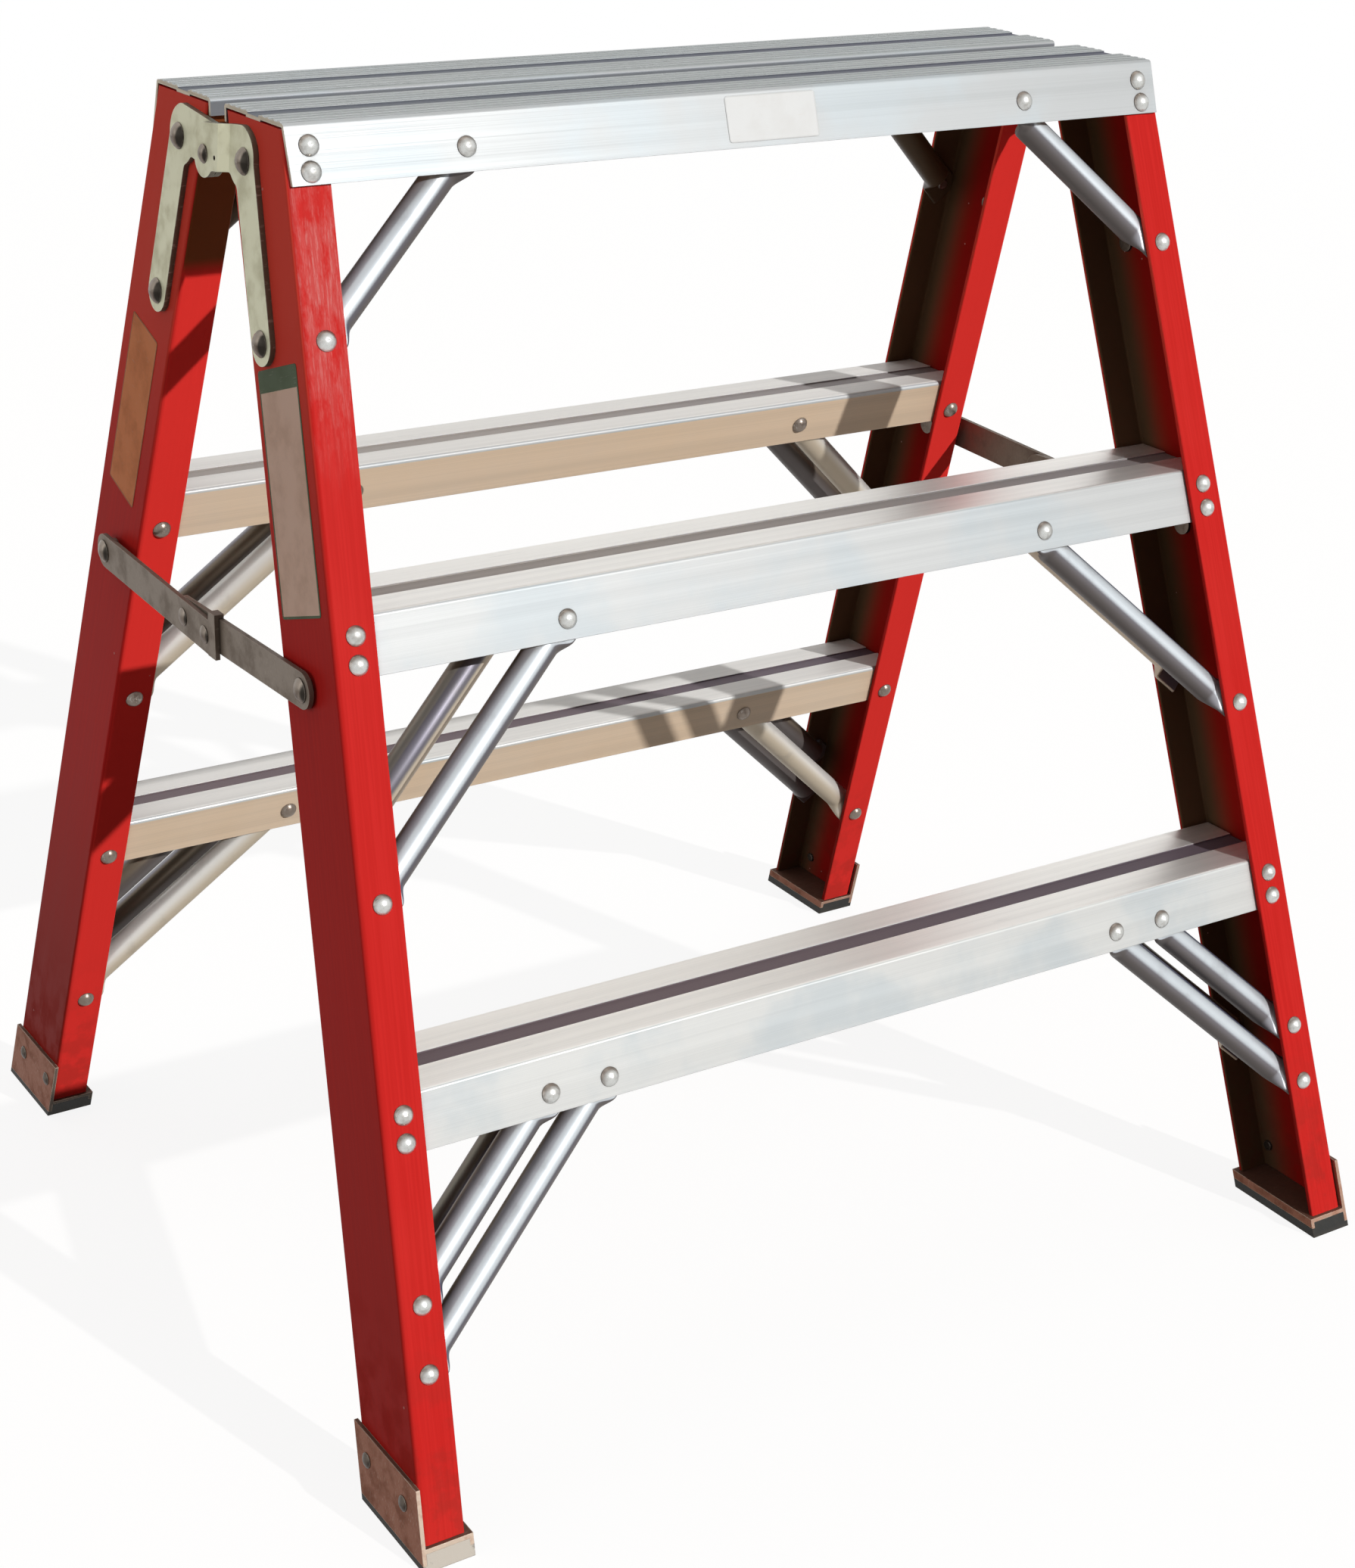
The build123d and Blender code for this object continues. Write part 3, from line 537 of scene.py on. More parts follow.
@dataclass(frozen=True)
class FibreglassFinish:
    """Red pultruded fibreglass: lengthwise fibres under a satin skin, scuffs, nicks and dust.

    Attributes:
        bright: Colour of the skin.
        deep: Colour between the fibres.
        inside: Colour of painted shade on the skin deep inside the channel.
        shaded: Colour of lighter, redder painted shade inside the channel, near the flange at the front.
        rubbed: Colour of the skin where it is rubbed thin.
        scuffed: Colour of pale scuffs and nicks.
        dust: Colour of soiling near the floor.
        unfaded: Colour of the inner flanges, brighter than the skin: painted light.
        sooty: Colour of the platform's painted shadow on the back left inner flange behind the hinge.
        bleached: Colour of the webs near the platform.
        aged: Colour of the webs near the floor.
        wall: Depth under the outer faces from which a face counts as inside.
        face: Depth under an outer face down to which it still counts as that face.
        corner: Width of the outer flange's rubbed corners.
        clean_strip: Distances from the flange between which the lighter painted shade runs out.
        soot_rise: Heights between which the painted shadow of the platform begins.
        bleach_rise: Heights between which the bleaching begins.
        age_fall: Heights between which the aging begins.
        dust_fall: Heights between which the dust begins.
        scuff_rise: Heights between which the scuffs of the flange begin.
        corner_rise: Heights between which the scuffs of its corners begin.
        skin: Relief, corners and reflection.
    """

    bright: Colour = tint(220, 46, 42)
    deep: Colour = tint(213, 41, 37)
    # Painted shade inside the channels: inside is its darkest colour, shaded its lighter, redder colour near
    # the front flange.
    inside: Colour = tint(98, 75, 54)
    shaded: Colour = tint(166, 25, 19)
    rubbed: Colour = tint(228, 74, 62)
    scuffed: Colour = tint(236, 186, 180)
    dust: Colour = tint(112, 50, 40)
    # Painted light: the inner flanges get a brighter red than the rest of the skin.
    unfaded: Colour = tint(246, 58, 52)
    # Painted shadow: colour of the back left inner flange where the platform's shadow falls.
    sooty: Colour = tint(134, 72, 40)
    bleached: Colour = tint(255, 84, 68)
    aged: Colour = tint(172, 38, 29)
    wall: float = 0.0030
    face: float = 0.0008
    corner: float = 0.0040
    clean_strip: Span = (0.078, 0.040)
    soot_rise: Span = (0.772, 0.786)
    bleach_rise: Span = (0.56, 0.82)
    age_fall: Span = (0.42, 0.08)
    dust_fall: Span = (0.20, 0.02)
    scuff_rise: Span = (0.66, 0.80)
    corner_rise: Span = (0.55, 0.72)
    skin: Skin = Skin(0.00002, 0.0006, 0.02)

    def material(self, lines: StileLines) -> bpy.types.Material:
        """Build the material.

        Args:
            lines: Slopes that the fibres follow.

        Returns:
            The material of all four stiles.
        """
        sheet = MaterialSheet("red_fibreglass")
        place = sheet.place()
        x, y, z = sheet.parts(place)
        across_x = abs(x) + z * lines.splay
        across_y = abs(y) + z * lines.lean
        own = (x > 0.0) * 3.1 + (y > 0.0) * 5.7
        fibres = sheet.noise(sheet.vector(across_x * 620.0 + own, across_y * 620.0, z * 11.0), 1.0, 3.0)
        veil = sheet.noise(place, 46.0, 4.0, 0.6)
        tone = sheet.noise(place, 6.5, 3.0)
        hidden = (
            (across_x < lines.web_foot - self.wall)
            * (across_y < lines.flange_foot - self.wall)
            * (across_y > lines.flange_foot - lines.depth + self.wall)
        )
        colour = sheet.mix(fibres.fade(0.34, 0.68), self.deep, self.bright)
        colour = sheet.mix(tone.fade(0.45, 0.75) * 0.14, colour, self.rubbed)
        colour = sheet.mix(veil.fade(0.52, 0.78) * 0.2, colour, self.deep)
        inner_face = across_y < lines.flange_foot - lines.depth + self.face
        # Painted light: the inner flanges are painted brighter than the rest of the skin.
        colour = sheet.mix(inner_face * 0.8, colour, self.unfaded)
        # Painted shadow of the platform on the back left inner flange, above the given height.
        soot = inner_face * (x < 0.0) * (y > 0.0) * z.fade(*self.soot_rise)
        colour = sheet.mix(soot, colour, self.sooty)
        web = abs(sheet.facing()[0]).fade(0.6, 0.9)
        colour = sheet.mix(web * z.fade(*self.bleach_rise), colour, self.bleached)
        aging = web * z.fade(*self.age_fall) * (0.35 + (y > 0.0) * 0.65)
        colour = sheet.mix(aging, colour, self.aged)
        # Painted shade inside the channels, lighter and redder near the flange at the front.
        channel = sheet.mix(self.cleaner(lines, y, across_y), self.inside, self.shaded)
        colour = sheet.mix(hidden, colour, channel)
        low = z.fade(*self.dust_fall) * veil.fade(0.42, 0.62)
        colour = sheet.mix(low * 0.25, colour, self.dust)
        patchy = sheet.noise(place, 70.0, 3.0, 0.7).fade(0.46, 0.62)
        corners = sheet.edges(0.0016) * (1.0 - hidden)
        colour = sheet.mix(corners * patchy * 0.5, colour, self.rubbed)
        scuffs = self.scuffs(sheet, lines, (x, y, z), across_x, across_y, corners)
        flecks = sheet.specks(place, 60.0, 0.05, 0.22) * hidden
        nicks = sheet.specks(place, 38.0, 0.045, 0.16) * 0.6 + flecks * 0.7
        pale = sheet.join("MAXIMUM", scuffs, nicks)
        colour = sheet.mix(pale, colour, self.scuffed)
        roughness = 0.40 + (fibres - 0.5) * 0.16 + pale * 0.25 + low * 0.2 + hidden * 0.12
        height = fibres * 0.6 + veil * 0.4
        return sheet.surface(colour, roughness, 0.0, height, self.skin)

    def cleaner(self, lines: StileLines, y: Wire, across_y: Wire) -> Wire:
        """Strip inside the channels, near the flange at the front, where the painted shade is lighter and
        redder.

        Args:
            lines: Slopes of the stiles.
            y: Y on the piece.
            across_y: Place square to the flange, free of the lean.

        Returns:
            One near that flange, nought in the rest of the channel.
        """
        behind_outer = (lines.flange_foot - across_y) * (y < 0.0)
        behind_inner = (across_y - (lines.flange_foot - lines.depth)) * (y > 0.0)
        return (behind_outer + behind_inner).fade(*self.clean_strip)

    def scuffs(
        self,
        sheet: MaterialSheet,
        lines: StileLines,
        place: tuple[Wire, Wire, Wire],
        across_x: Wire,
        across_y: Wire,
        corners: Wire,
    ) -> Wire:
        """Rubbed streaks on the outer flange of the front left stile, under the platform.

        Args:
            sheet: Sheet of the material.
            lines: Slopes of the stile.
            place: Place on the piece as three values.
            across_x: Place across the flange, free of the splay.
            across_y: Place square to the flange, free of the lean.
            corners: Where the stile turns a corner.

        Returns:
            One where the skin is rubbed pale.
        """
        x, y, z = place
        on_flange = across_y > lines.flange_foot - self.face
        quarter = (x < 0.0) * (y < 0.0)
        streaks = sheet.noise(sheet.vector(across_x * 900.0, across_y, z * 70.0), 1.0, 4.0, 0.75)
        blots = sheet.noise(sheet.vector(across_x * 110.0, across_y, z * 40.0), 1.0, 4.0, 0.7)
        rubbed = (0.3 + streaks.fade(0.46, 0.66) * 0.7) * blots.fade(0.34, 0.60) * z.fade(*self.scuff_rise)
        outer = corners * (across_y > lines.flange_foot - self.corner)
        arris = outer * z.fade(*self.corner_rise) * streaks.fade(0.40, 0.55)
        return quarter * sheet.join("MAXIMUM", on_flange * rubbed * 0.42, arris * 0.6)


@dataclass(frozen=True)
class StepLook:
    """How one height of the steps wears.

    Attributes:
        name: Name of the step within its frame.
        tread: Colour of the trodden strips.
        groove: Colour in the grooves.
        bare: Colour of the sheet.
        shine: Metallic share of the front frame's trodden strips.
        behind: Metallic share of the back frame's trodden strips.
        gloss: How much smoother the strips are than the rest of the sheet.
        ribbed: How strongly a ribbed top shows its lines, or nought for a top with no ribs.
        seam: How strongly the lip at the seam between the frames gets painted shade.
        arris: Width of the outer edge of the top that stays bright.
    """

    name: str
    tread: Colour
    groove: Colour
    bare: Colour
    shine: float
    behind: float = 0.0
    gloss: float = 0.05
    ribbed: float = 0.0
    seam: float = 0.0
    arris: float = 0.0


@dataclass(frozen=True)
class GroovedSheetFinish:
    """Mill-finish aluminium of a step, drawn along its length, with a trodden top and a dark groove.

    Attributes:
        name: Name of the material.
        top: Height of the step's top.
        near: Distance of the top's inner edge from the middle of the platform.
        far: Distance of the top's outer edge.
        look: How this height of the steps wears.
        cold: Colour of bluish patches of the mill finish.
        film: Colour of faces that look down: dusty film together with a painted reflection of the tan ground.
        murk: Colour of the grooves towards the right end.
        cut: Colour of the sawn ends.
        line: Colour of the drawn lines.
        dirt: Colour of the darkening near other surfaces: soiling together with painted shade.
        rubbed: Colour of rubbed corners.
        nose: Width of the rounded edges of the top.
        groove_walls: Depths below the top between which a groove's walls run.
        groove_bed: Depth below the top that a groove doesn't reach.
        rib_foot: Height above the top from which a face belongs to a rib.
        seam_drop: Depth below the top down to which the seam's lip gets painted shade.
        murk_run: Places along the step between which the grooves get murky.
        plain: Metallic share of the sheet.
        grime: How far from other surfaces the darkening reaches.
        corner: Width of rubbed corners.
        skin: Relief, corners and reflection.
    """

    name: str
    top: float
    near: float
    far: float
    look: StepLook
    cold: Colour = tint(188, 197, 201)
    film: Colour = tint(250, 214, 171)
    murk: Colour = tint(70, 66, 88)
    cut: Colour = tint(240, 226, 202)
    line: Colour = tint(128, 130, 132)
    dirt: Colour = tint(88, 82, 76)
    rubbed: Colour = tint(226, 227, 226)
    nose: float = 0.0050
    groove_walls: Span = (0.0001, 0.0007)
    groove_bed: float = 0.0020
    rib_foot: float = 0.00002
    seam_drop: float = 0.0300
    murk_run: Span = (-0.20, 0.30)
    plain: float = 0.24
    grime: float = 0.006
    corner: float = 0.0010
    skin: Skin = Skin(0.00016, 0.0005, 0.2)

    def material(self) -> bpy.types.Material:
        """Build the material of this step's height.

        Returns:
            The material.
        """
        sheet = MaterialSheet(self.name)
        place = sheet.place()
        x, y, z = sheet.parts(place)
        sideways, _, up = sheet.facing()
        drawn = sheet.noise(sheet.vector(x * 2.2, y * 1500.0, z * 1500.0), 1.0, 3.0, 0.6)
        broad = sheet.noise(sheet.vector(x * 1.1, y * 120.0, z * 120.0), 1.0, 2.0)
        patches = sheet.noise(place, 13.0, 4.0, 0.55)
        colour = sheet.mix(patches.fade(0.42, 0.66) * 0.6, self.look.bare, self.cold)
        # Faces that look down get the film colour: dusty film together with a painted reflection of the tan
        # ground.
        looks_down = up.fade(-0.12, -0.4)
        colour = sheet.mix(looks_down * (0.7 + patches * 0.4), colour, self.film)
        on_top = up.fade(0.75, 0.95) * (abs(y) < self.far - self.look.arris)
        inwards = (abs(y) > self.near + self.nose) * (abs(y) < self.far - self.nose)
        sunk = inwards * (self.top - z).fade(*self.groove_walls) * (z > self.top - self.groove_bed)
        strips = on_top * (1.0 - sunk)
        colour = sheet.mix(on_top, colour, self.look.tread)
        flanks = inwards * (z > self.top + self.rib_foot) * up.fade(0.9, 0.5)
        colour = sheet.mix(flanks * 0.4, colour, self.look.groove)
        drags = sheet.noise(sheet.vector(x * 26.0, y * 340.0, z * 40.0), 1.0, 5.0, 0.7)
        scratched = drags.fade(0.60, 0.70) * strips
        colour = sheet.mix(scratched * 0.3, colour, self.look.bare)
        colour = sheet.mix(sunk, colour, self.look.groove)
        colour = sheet.mix(sunk * x.fade(*self.murk_run) * 0.35, colour, self.murk)
        # Painted shade on the lip at the seam between the platform's halves.
        seam = (abs(y) < self.near + self.nose) * up.fade(0.6, 0.2) * (z > self.top - self.seam_drop)
        colour = sheet.mix(seam * self.look.seam, colour, self.look.groove)
        colour = sheet.mix(abs(sideways).fade(0.6, 0.9), colour, self.cut)
        shade = (drawn - 0.5) * 0.22 + (broad - 0.5) * 0.3
        lined = shade.fade(-0.10, 0.10) * (0.16 + on_top * self.look.ribbed * 0.5)
        colour = sheet.mix(lined, colour, self.line, "MULTIPLY")
        # Darker near other surfaces, by occlusion: soiling together with painted shade.
        dirt = sheet.crevices(self.grime).fade(0.12, 0.6)
        colour = sheet.mix(dirt * 0.5, colour, self.dirt, "MULTIPLY")
        bright = sheet.edges(self.corner) * (1.0 - sunk)
        colour = sheet.mix(bright * 0.3, colour, self.rubbed)
        roughness = 0.43 + (drawn - 0.5) * 0.2 + (patches - 0.5) * 0.1
        roughness = roughness + sunk * 0.15 - strips * self.look.gloss
        shine = self.look.shine + (y > 0.0) * (self.look.behind - self.look.shine)
        metallic = self.plain + strips * (shine - self.plain) - sunk * 0.1 - looks_down * 0.2 - dirt * 0.1
        height = (drawn * 0.7 + broad * 0.3) * 0.4
        return sheet.surface(colour, roughness, metallic, height, self.skin)


@dataclass(frozen=True)
class DrawnTubeFinish:
    """Drawn aluminium tube: a painted highlight where it faces out, painted shade and reflections above and
    below.

    Attributes:
        bright: Colour of the painted highlight.
        dull: Colour of painted shade on the underside, and of random stains.
        lilac: Colour of painted reflection on the upper side where it looks to the left.
        cold: Colour of painted reflection on the upper side.
        navy: Colour of painted dark reflection above, where it looks to the right, and of painted shadow on
            front inner tubes.
        tan: Colour of painted light on the underside of the back frame's inner tubes, and of the painted
            highlight on
        sides that look at the other frame.
        sand: Colour of painted light on the underside of the front frame's inner tubes.
        white: Colour of painted light on the upper side and the highlight of the back frame's inner tubes.
        brown: Colour of painted shade on the upper side of the other tubes where they look at the other
            frame.
        pale: Colour of painted light on the upper side of the front frame's inner tubes.
        soot: Colour of the platform's painted shadow on the back frame's top tubes, facing the other frame.
        dirt: Colour of the darkening near other surfaces: soiling together with painted shade.
        crimp: How far from its ends a tube is dulled by the press.
        soot_rise: Heights between which the painted shadow of the platform begins.
        grime: How far from other surfaces the darkening reaches.
        skin: Relief, corners and reflection.
    """

    bright: Colour = tint(206, 212, 216)
    dull: Colour = tint(112, 106, 104)
    lilac: Colour = tint(158, 154, 162)
    cold: Colour = tint(120, 122, 134)
    navy: Colour = tint(88, 90, 112)
    tan: Colour = tint(204, 190, 168)
    sand: Colour = tint(224, 206, 184)
    white: Colour = tint(238, 236, 230)
    brown: Colour = tint(92, 80, 68)
    pale: Colour = tint(160, 156, 142)
    soot: Colour = tint(84, 66, 42)
    dirt: Colour = tint(96, 90, 84)
    crimp: float = 0.022
    soot_rise: Span = (0.70, 0.76)
    grime: float = 0.008
    skin: Skin = Skin(0.00002, 0.0004, 0.12)

    def material(self, lines: StileLines) -> bpy.types.Material:
        """Build the material of all brace tubes.

        Args:
            lines: Slopes that tell the inner flanges from the outer ones.

        Returns:
            The material.
        """
        sheet = MaterialSheet("drawn_tube")
        place = sheet.place()
        _, y, z = sheet.parts(place)
        out, across, along = sheet.kept("tube")
        sideways, forwards, up = sheet.facing()
        drawn = sheet.noise(sheet.vector(out * 1800.0, across * 1800.0, along * 3.0), 1.0, 2.0)
        patches = sheet.noise(place, 34.0, 4.0, 0.6)
        # Painted highlight where the tube faces out and up, towards the main lamp's reflection.
        lit = abs(forwards) * 0.875 + up * 0.66
        broad = (up - sideways).fade(0.3, 1.0) * 0.4
        painted_highlight = sheet.join("MAXIMUM", lit.fade(0.86, 0.995), lit.fade(0.35, 0.95) * broad)
        # Painted shade and painted reflections above and below, and painted light on the inner tubes.
        under = up.fade(0.45, -0.35)
        back = (y > 0.0) * 2.0 - 1.0
        inner = (abs(y) + z * lines.lean) < lines.flange_foot - lines.depth * 0.5
        inward_shading = sheet.join("MAXIMUM", (back * forwards).fade(0.1, -0.3), inner)
        upper = sheet.mix(sideways.fade(-0.45, 0.0), self.lilac, self.cold)
        upper = sheet.mix(sideways.fade(0.1, 0.5), upper, self.navy)
        upper = sheet.mix(inward_shading, upper, sheet.mix(inner, self.brown, self.white))
        tucked = inner * (y < 0.0)
        upper = sheet.mix(tucked, upper, self.pale)
        lower = sheet.mix(inner, self.dull, sheet.mix(y > 0.0, self.sand, self.tan))
        colour = sheet.mix(under, upper, lower)
        facing_out = sheet.mix(inward_shading, self.bright, self.tan)
        facing_out = sheet.mix(tucked * 0.85, facing_out, self.navy)
        facing_out = sheet.mix(inner * (y > 0.0), facing_out, self.white)
        colour = sheet.mix(painted_highlight * (1.1 - patches * 0.3), colour, facing_out)
        colour = sheet.mix(patches.fade(0.52, 0.75) * 0.2, colour, self.dull)
        # Painted shadow of the platform on the back frame's top tubes.
        sooty = inward_shading * (1.0 - inner) * (y > 0.0) * z.fade(*self.soot_rise)
        colour = sheet.mix(sooty * 0.9, colour, self.soot)
        # Darker near other surfaces, by occlusion: soiling together with painted shade.
        dirt = sheet.crevices(self.grime).fade(0.2, 0.8)
        colour = sheet.mix(dirt * 0.5, colour, self.dirt, "MULTIPLY")
        pressed = along.fade(self.crimp, self.crimp * 0.5)
        roughness = 0.36 + (drawn - 0.5) * 0.14 + patches * 0.08 + pressed * 0.1 + under * 0.06
        metallic = 0.38 - under * 0.1 - sooty * 0.25
        return sheet.surface(colour, roughness, metallic, drawn, self.skin)


@dataclass(frozen=True)
class MetalFinish:
    """Plain metal of a small part: mottled colour, fine scratches, bright corners, and soiling with painted
    shade near seams.

    Attributes:
        name: Name of the material.
        clean: Colour of the clean metal.
        stained: Colour of stains, and of painted shade on rivets.
        worn: Colour of rubbed corners, and of the painted highlight on domes.
        dirt: Colour of soiling low and on top, and of painted shade on plate sides and near other surfaces.
        metallic: Metallic share.
        roughness: Roughness of the clean metal.
        blotch: Stains per metre.
        stain: How strongly stains show.
        wear: How strongly corners are rubbed.
        edge: Radius that corners are softened by.
        grime: How far from other surfaces the darkening reaches.
        low: Height below which the metal is darkened, or nought.
        ends: How strongly faces that look forwards or backwards are rubbed.
        inward_shading: How strongly faces that look at the other frame are darkened with painted shade.
        rim: How strongly the sides of a dome that looks forwards or backwards are darkened with painted
            shade.
        sides: How strongly the narrow sides of a plate that looks sideways get painted shadow.
        trodden: How dirty faces that look up are.
        domed: How strongly a dome that looks sideways gets a painted highlight above and painted shade at the
            front.
        black: Colour of painted shade at the front of domes, and of the blackened front end at the back left.
        relief: Depth of the scratches.
        specular: Strength of the reflection where it isn't metal.
        corner: Width of rubbed corners.
    """

    name: str
    clean: Colour
    stained: Colour
    worn: Colour
    dirt: Colour = tint(60, 52, 46)
    metallic: float = 0.85
    roughness: float = 0.38
    blotch: float = 60.0
    stain: float = 0.6
    wear: float = 0.6
    edge: float = 0.0006
    grime: float = 0.005
    low: float = 0.0
    ends: float = 0.0
    inward_shading: float = 0.0
    rim: float = 0.0
    sides: float = 0.0
    trodden: float = 0.0
    domed: float = 0.0
    black: Colour = tint(30, 28, 24)
    relief: float = 0.00006
    specular: float = 0.2
    corner: float = 0.0012

    def material(self) -> bpy.types.Material:
        """Build the material.

        Returns:
            The material of one kind of small part.
        """
        sheet = MaterialSheet(self.name)
        place = sheet.place()
        x, y, z = sheet.parts(place)
        sideways, forwards, up = sheet.facing()
        blots = sheet.noise(place, self.blotch, 4.0, 0.62)
        fine = sheet.noise(place, self.blotch * 14.0, 3.0, 0.6)
        hairs = sheet.noise(sheet.vector(x * 90.0, y * 900.0, z * 240.0), 1.0, 2.0)
        stains = blots.fade(0.42, 0.68)
        colour = sheet.mix(stains * self.stain, self.clean, self.stained)
        back = (y > 0.0) * 2.0 - 1.0
        # Painted shade on faces that look at the other frame and on the sides of domes that look forwards or
        # backwards.
        colour = sheet.mix((back * forwards).fade(0.1, -0.4) * self.inward_shading, colour, self.stained)
        colour = sheet.mix(abs(forwards).fade(0.82, 0.42) * self.rim, colour, self.stained)
        # Painted shadow on the narrow sides of plates.
        colour = sheet.mix(abs(sideways).fade(0.92, 0.60) * self.sides, colour, self.dirt)
        colour = sheet.mix(hairs.fade(0.60, 0.70) * 0.18, colour, self.worn)
        colour = sheet.mix(up.fade(0.5, 0.8) * self.trodden, colour, self.dirt)
        # Painted highlight above and painted shade at the front of domes that look sideways.
        colour = sheet.mix(up.fade(0.0, 0.3) * self.domed * 0.5, colour, self.worn)
        colour = sheet.mix(forwards.fade(-0.32, -0.50) * self.domed, colour, self.black)
        colour = sheet.mix((z < self.low) * 0.75, colour, self.dirt)
        end = abs(forwards).fade(0.75, 0.92) * self.ends
        colour = sheet.mix(end * blots.fade(0.2, 0.5) * (1.0 - (x > 0.0) * 0.6), colour, self.worn)
        colour = sheet.mix(end * (x < 0.0) * (y > 0.0), colour, self.black)
        # Darker near other surfaces, by occlusion: soiling together with painted shade.
        dirt = sheet.crevices(self.grime).fade(0.15, 0.75)
        colour = sheet.mix(dirt * 0.6, colour, self.dirt)
        rubbed = sheet.edges(self.corner) * blots.fade(0.34, 0.56)
        colour = sheet.mix(rubbed * self.wear, colour, self.worn)
        roughness = self.roughness + stains * 0.14 + (fine - 0.5) * 0.16 - rubbed * 0.1 + dirt * 0.15
        metallic = self.metallic - dirt * 0.3 - stains * 0.12
        height = fine * 0.5 + hairs * 0.5
        skin = Skin(self.relief, self.edge, self.specular)
        return sheet.surface(colour, roughness, metallic, height, skin)


@dataclass(frozen=True)
class RubberFinish:
    """Black moulded rubber, dusty where it is rubbed.

    Attributes:
        black: Colour of the clean rubber.
        dust: Colour of dust on it.
        chalk: Colour of the chalky front end of the front left sole.
        dust_fall: Heights between which the floor's dust begins.
        corner: Width of rubbed corners.
        skin: Relief, corners and reflection.
    """

    black: Colour = tint(27, 27, 24)
    dust: Colour = tint(92, 84, 74)
    chalk: Colour = tint(222, 212, 198)
    dust_fall: Span = (0.004, 0.0)
    corner: float = 0.0016
    skin: Skin = Skin(0.00012, 0.0010, 0.35)

    def material(self) -> bpy.types.Material:
        """Build the material of the soles.

        Returns:
            The material.
        """
        sheet = MaterialSheet("sole_rubber")
        place = sheet.place()
        x, y, z = sheet.parts(place)
        pores = sheet.noise(place, 900.0, 3.0)
        cloud = sheet.noise(place, 55.0, 4.0, 0.65)
        dusty = cloud.fade(0.48, 0.72) * 0.18 + z.fade(*self.dust_fall) * 0.2
        rubbed = sheet.edges(self.corner) * cloud.fade(0.36, 0.6)
        colour = sheet.mix(sheet.join("MAXIMUM", dusty, rubbed * 0.55), self.black, self.dust)
        toe = (x < 0.0) * (y < 0.0) * sheet.facing()[1].fade(-0.7, -0.9)
        colour = sheet.mix(toe * cloud.fade(0.30, 0.46) * 0.9, colour, self.chalk)
        roughness = 0.62 + dusty * 0.25 + (pores - 0.5) * 0.2
        return sheet.surface(colour, roughness, 0.0, pores, self.skin)


@dataclass(frozen=True)
class Sticker:
    """One blank sticker: plain ground, optional header band and border, yellowed and scratched.

    Attributes:
        name: Name of the piece.
        width: Width of the film.
        length: Length of the film.
        ground: Colour of the film.
        band: Colour of its header and border.
        header: Height of its header band.
        border: Width of its border.
        age: How strongly it is yellowed.
        yellow: Colour that it yellows to.
        scratched: Colour of scratches.
        skin: Relief, corners and reflection.
    """

    name: str
    width: float
    length: float
    ground: Colour
    band: Colour
    header: float
    border: float
    age: float
    yellow: Colour = tint(176, 150, 120)
    scratched: Colour = tint(226, 214, 200)
    skin: Skin = Skin(0.00002, 0.0002, 0.2)

    def material(self) -> bpy.types.Material:
        """Build the material of the film.

        Returns:
            The material.
        """
        sheet = MaterialSheet(f"{self.name}_film")
        place = sheet.place()
        across, along, _ = sheet.kept("film")
        aged = sheet.noise(place, 42.0, 4.0, 0.6)
        grain = sheet.noise(place, 1100.0, 2.0)
        scratches = sheet.noise(sheet.vector(across * 60.0, along * 900.0, 0.0), 1.0, 4.0, 0.7)
        on_header = along > self.length / 2 - self.header
        on_border = sheet.join(
            "MAXIMUM",
            abs(across) > self.width / 2 - self.border,
            abs(along) > self.length / 2 - self.border,
        )
        colour = sheet.mix(sheet.join("MAXIMUM", on_header, on_border), self.ground, self.band)
        colour = sheet.mix(aged.fade(0.4, 0.7) * self.age, colour, self.yellow, "MULTIPLY")
        rubbed = scratches.fade(0.62, 0.70)
        colour = sheet.mix(rubbed * 0.35, colour, self.scratched)
        roughness = 0.42 + aged * 0.2 + rubbed * 0.15
        return sheet.surface(colour, roughness, 0.0, grain, self.skin)


@dataclass
class Stiles:
    """The four channel stiles.

    Attributes:
        finish: Their red fibreglass.
    """

    finish: FibreglassFinish = FibreglassFinish()

    def dress(self, nodes: Mapping[str, bpy.types.Object], lines: StileLines) -> None:
        """Give the stiles their finish.

        Args:
            nodes: All CAD nodes by name.
            lines: Slopes that the fibres follow.
        """
        names = [f"{quarter}_stile" for quarter in quarters()]
        dress(nodes, names, self.finish.material(lines))


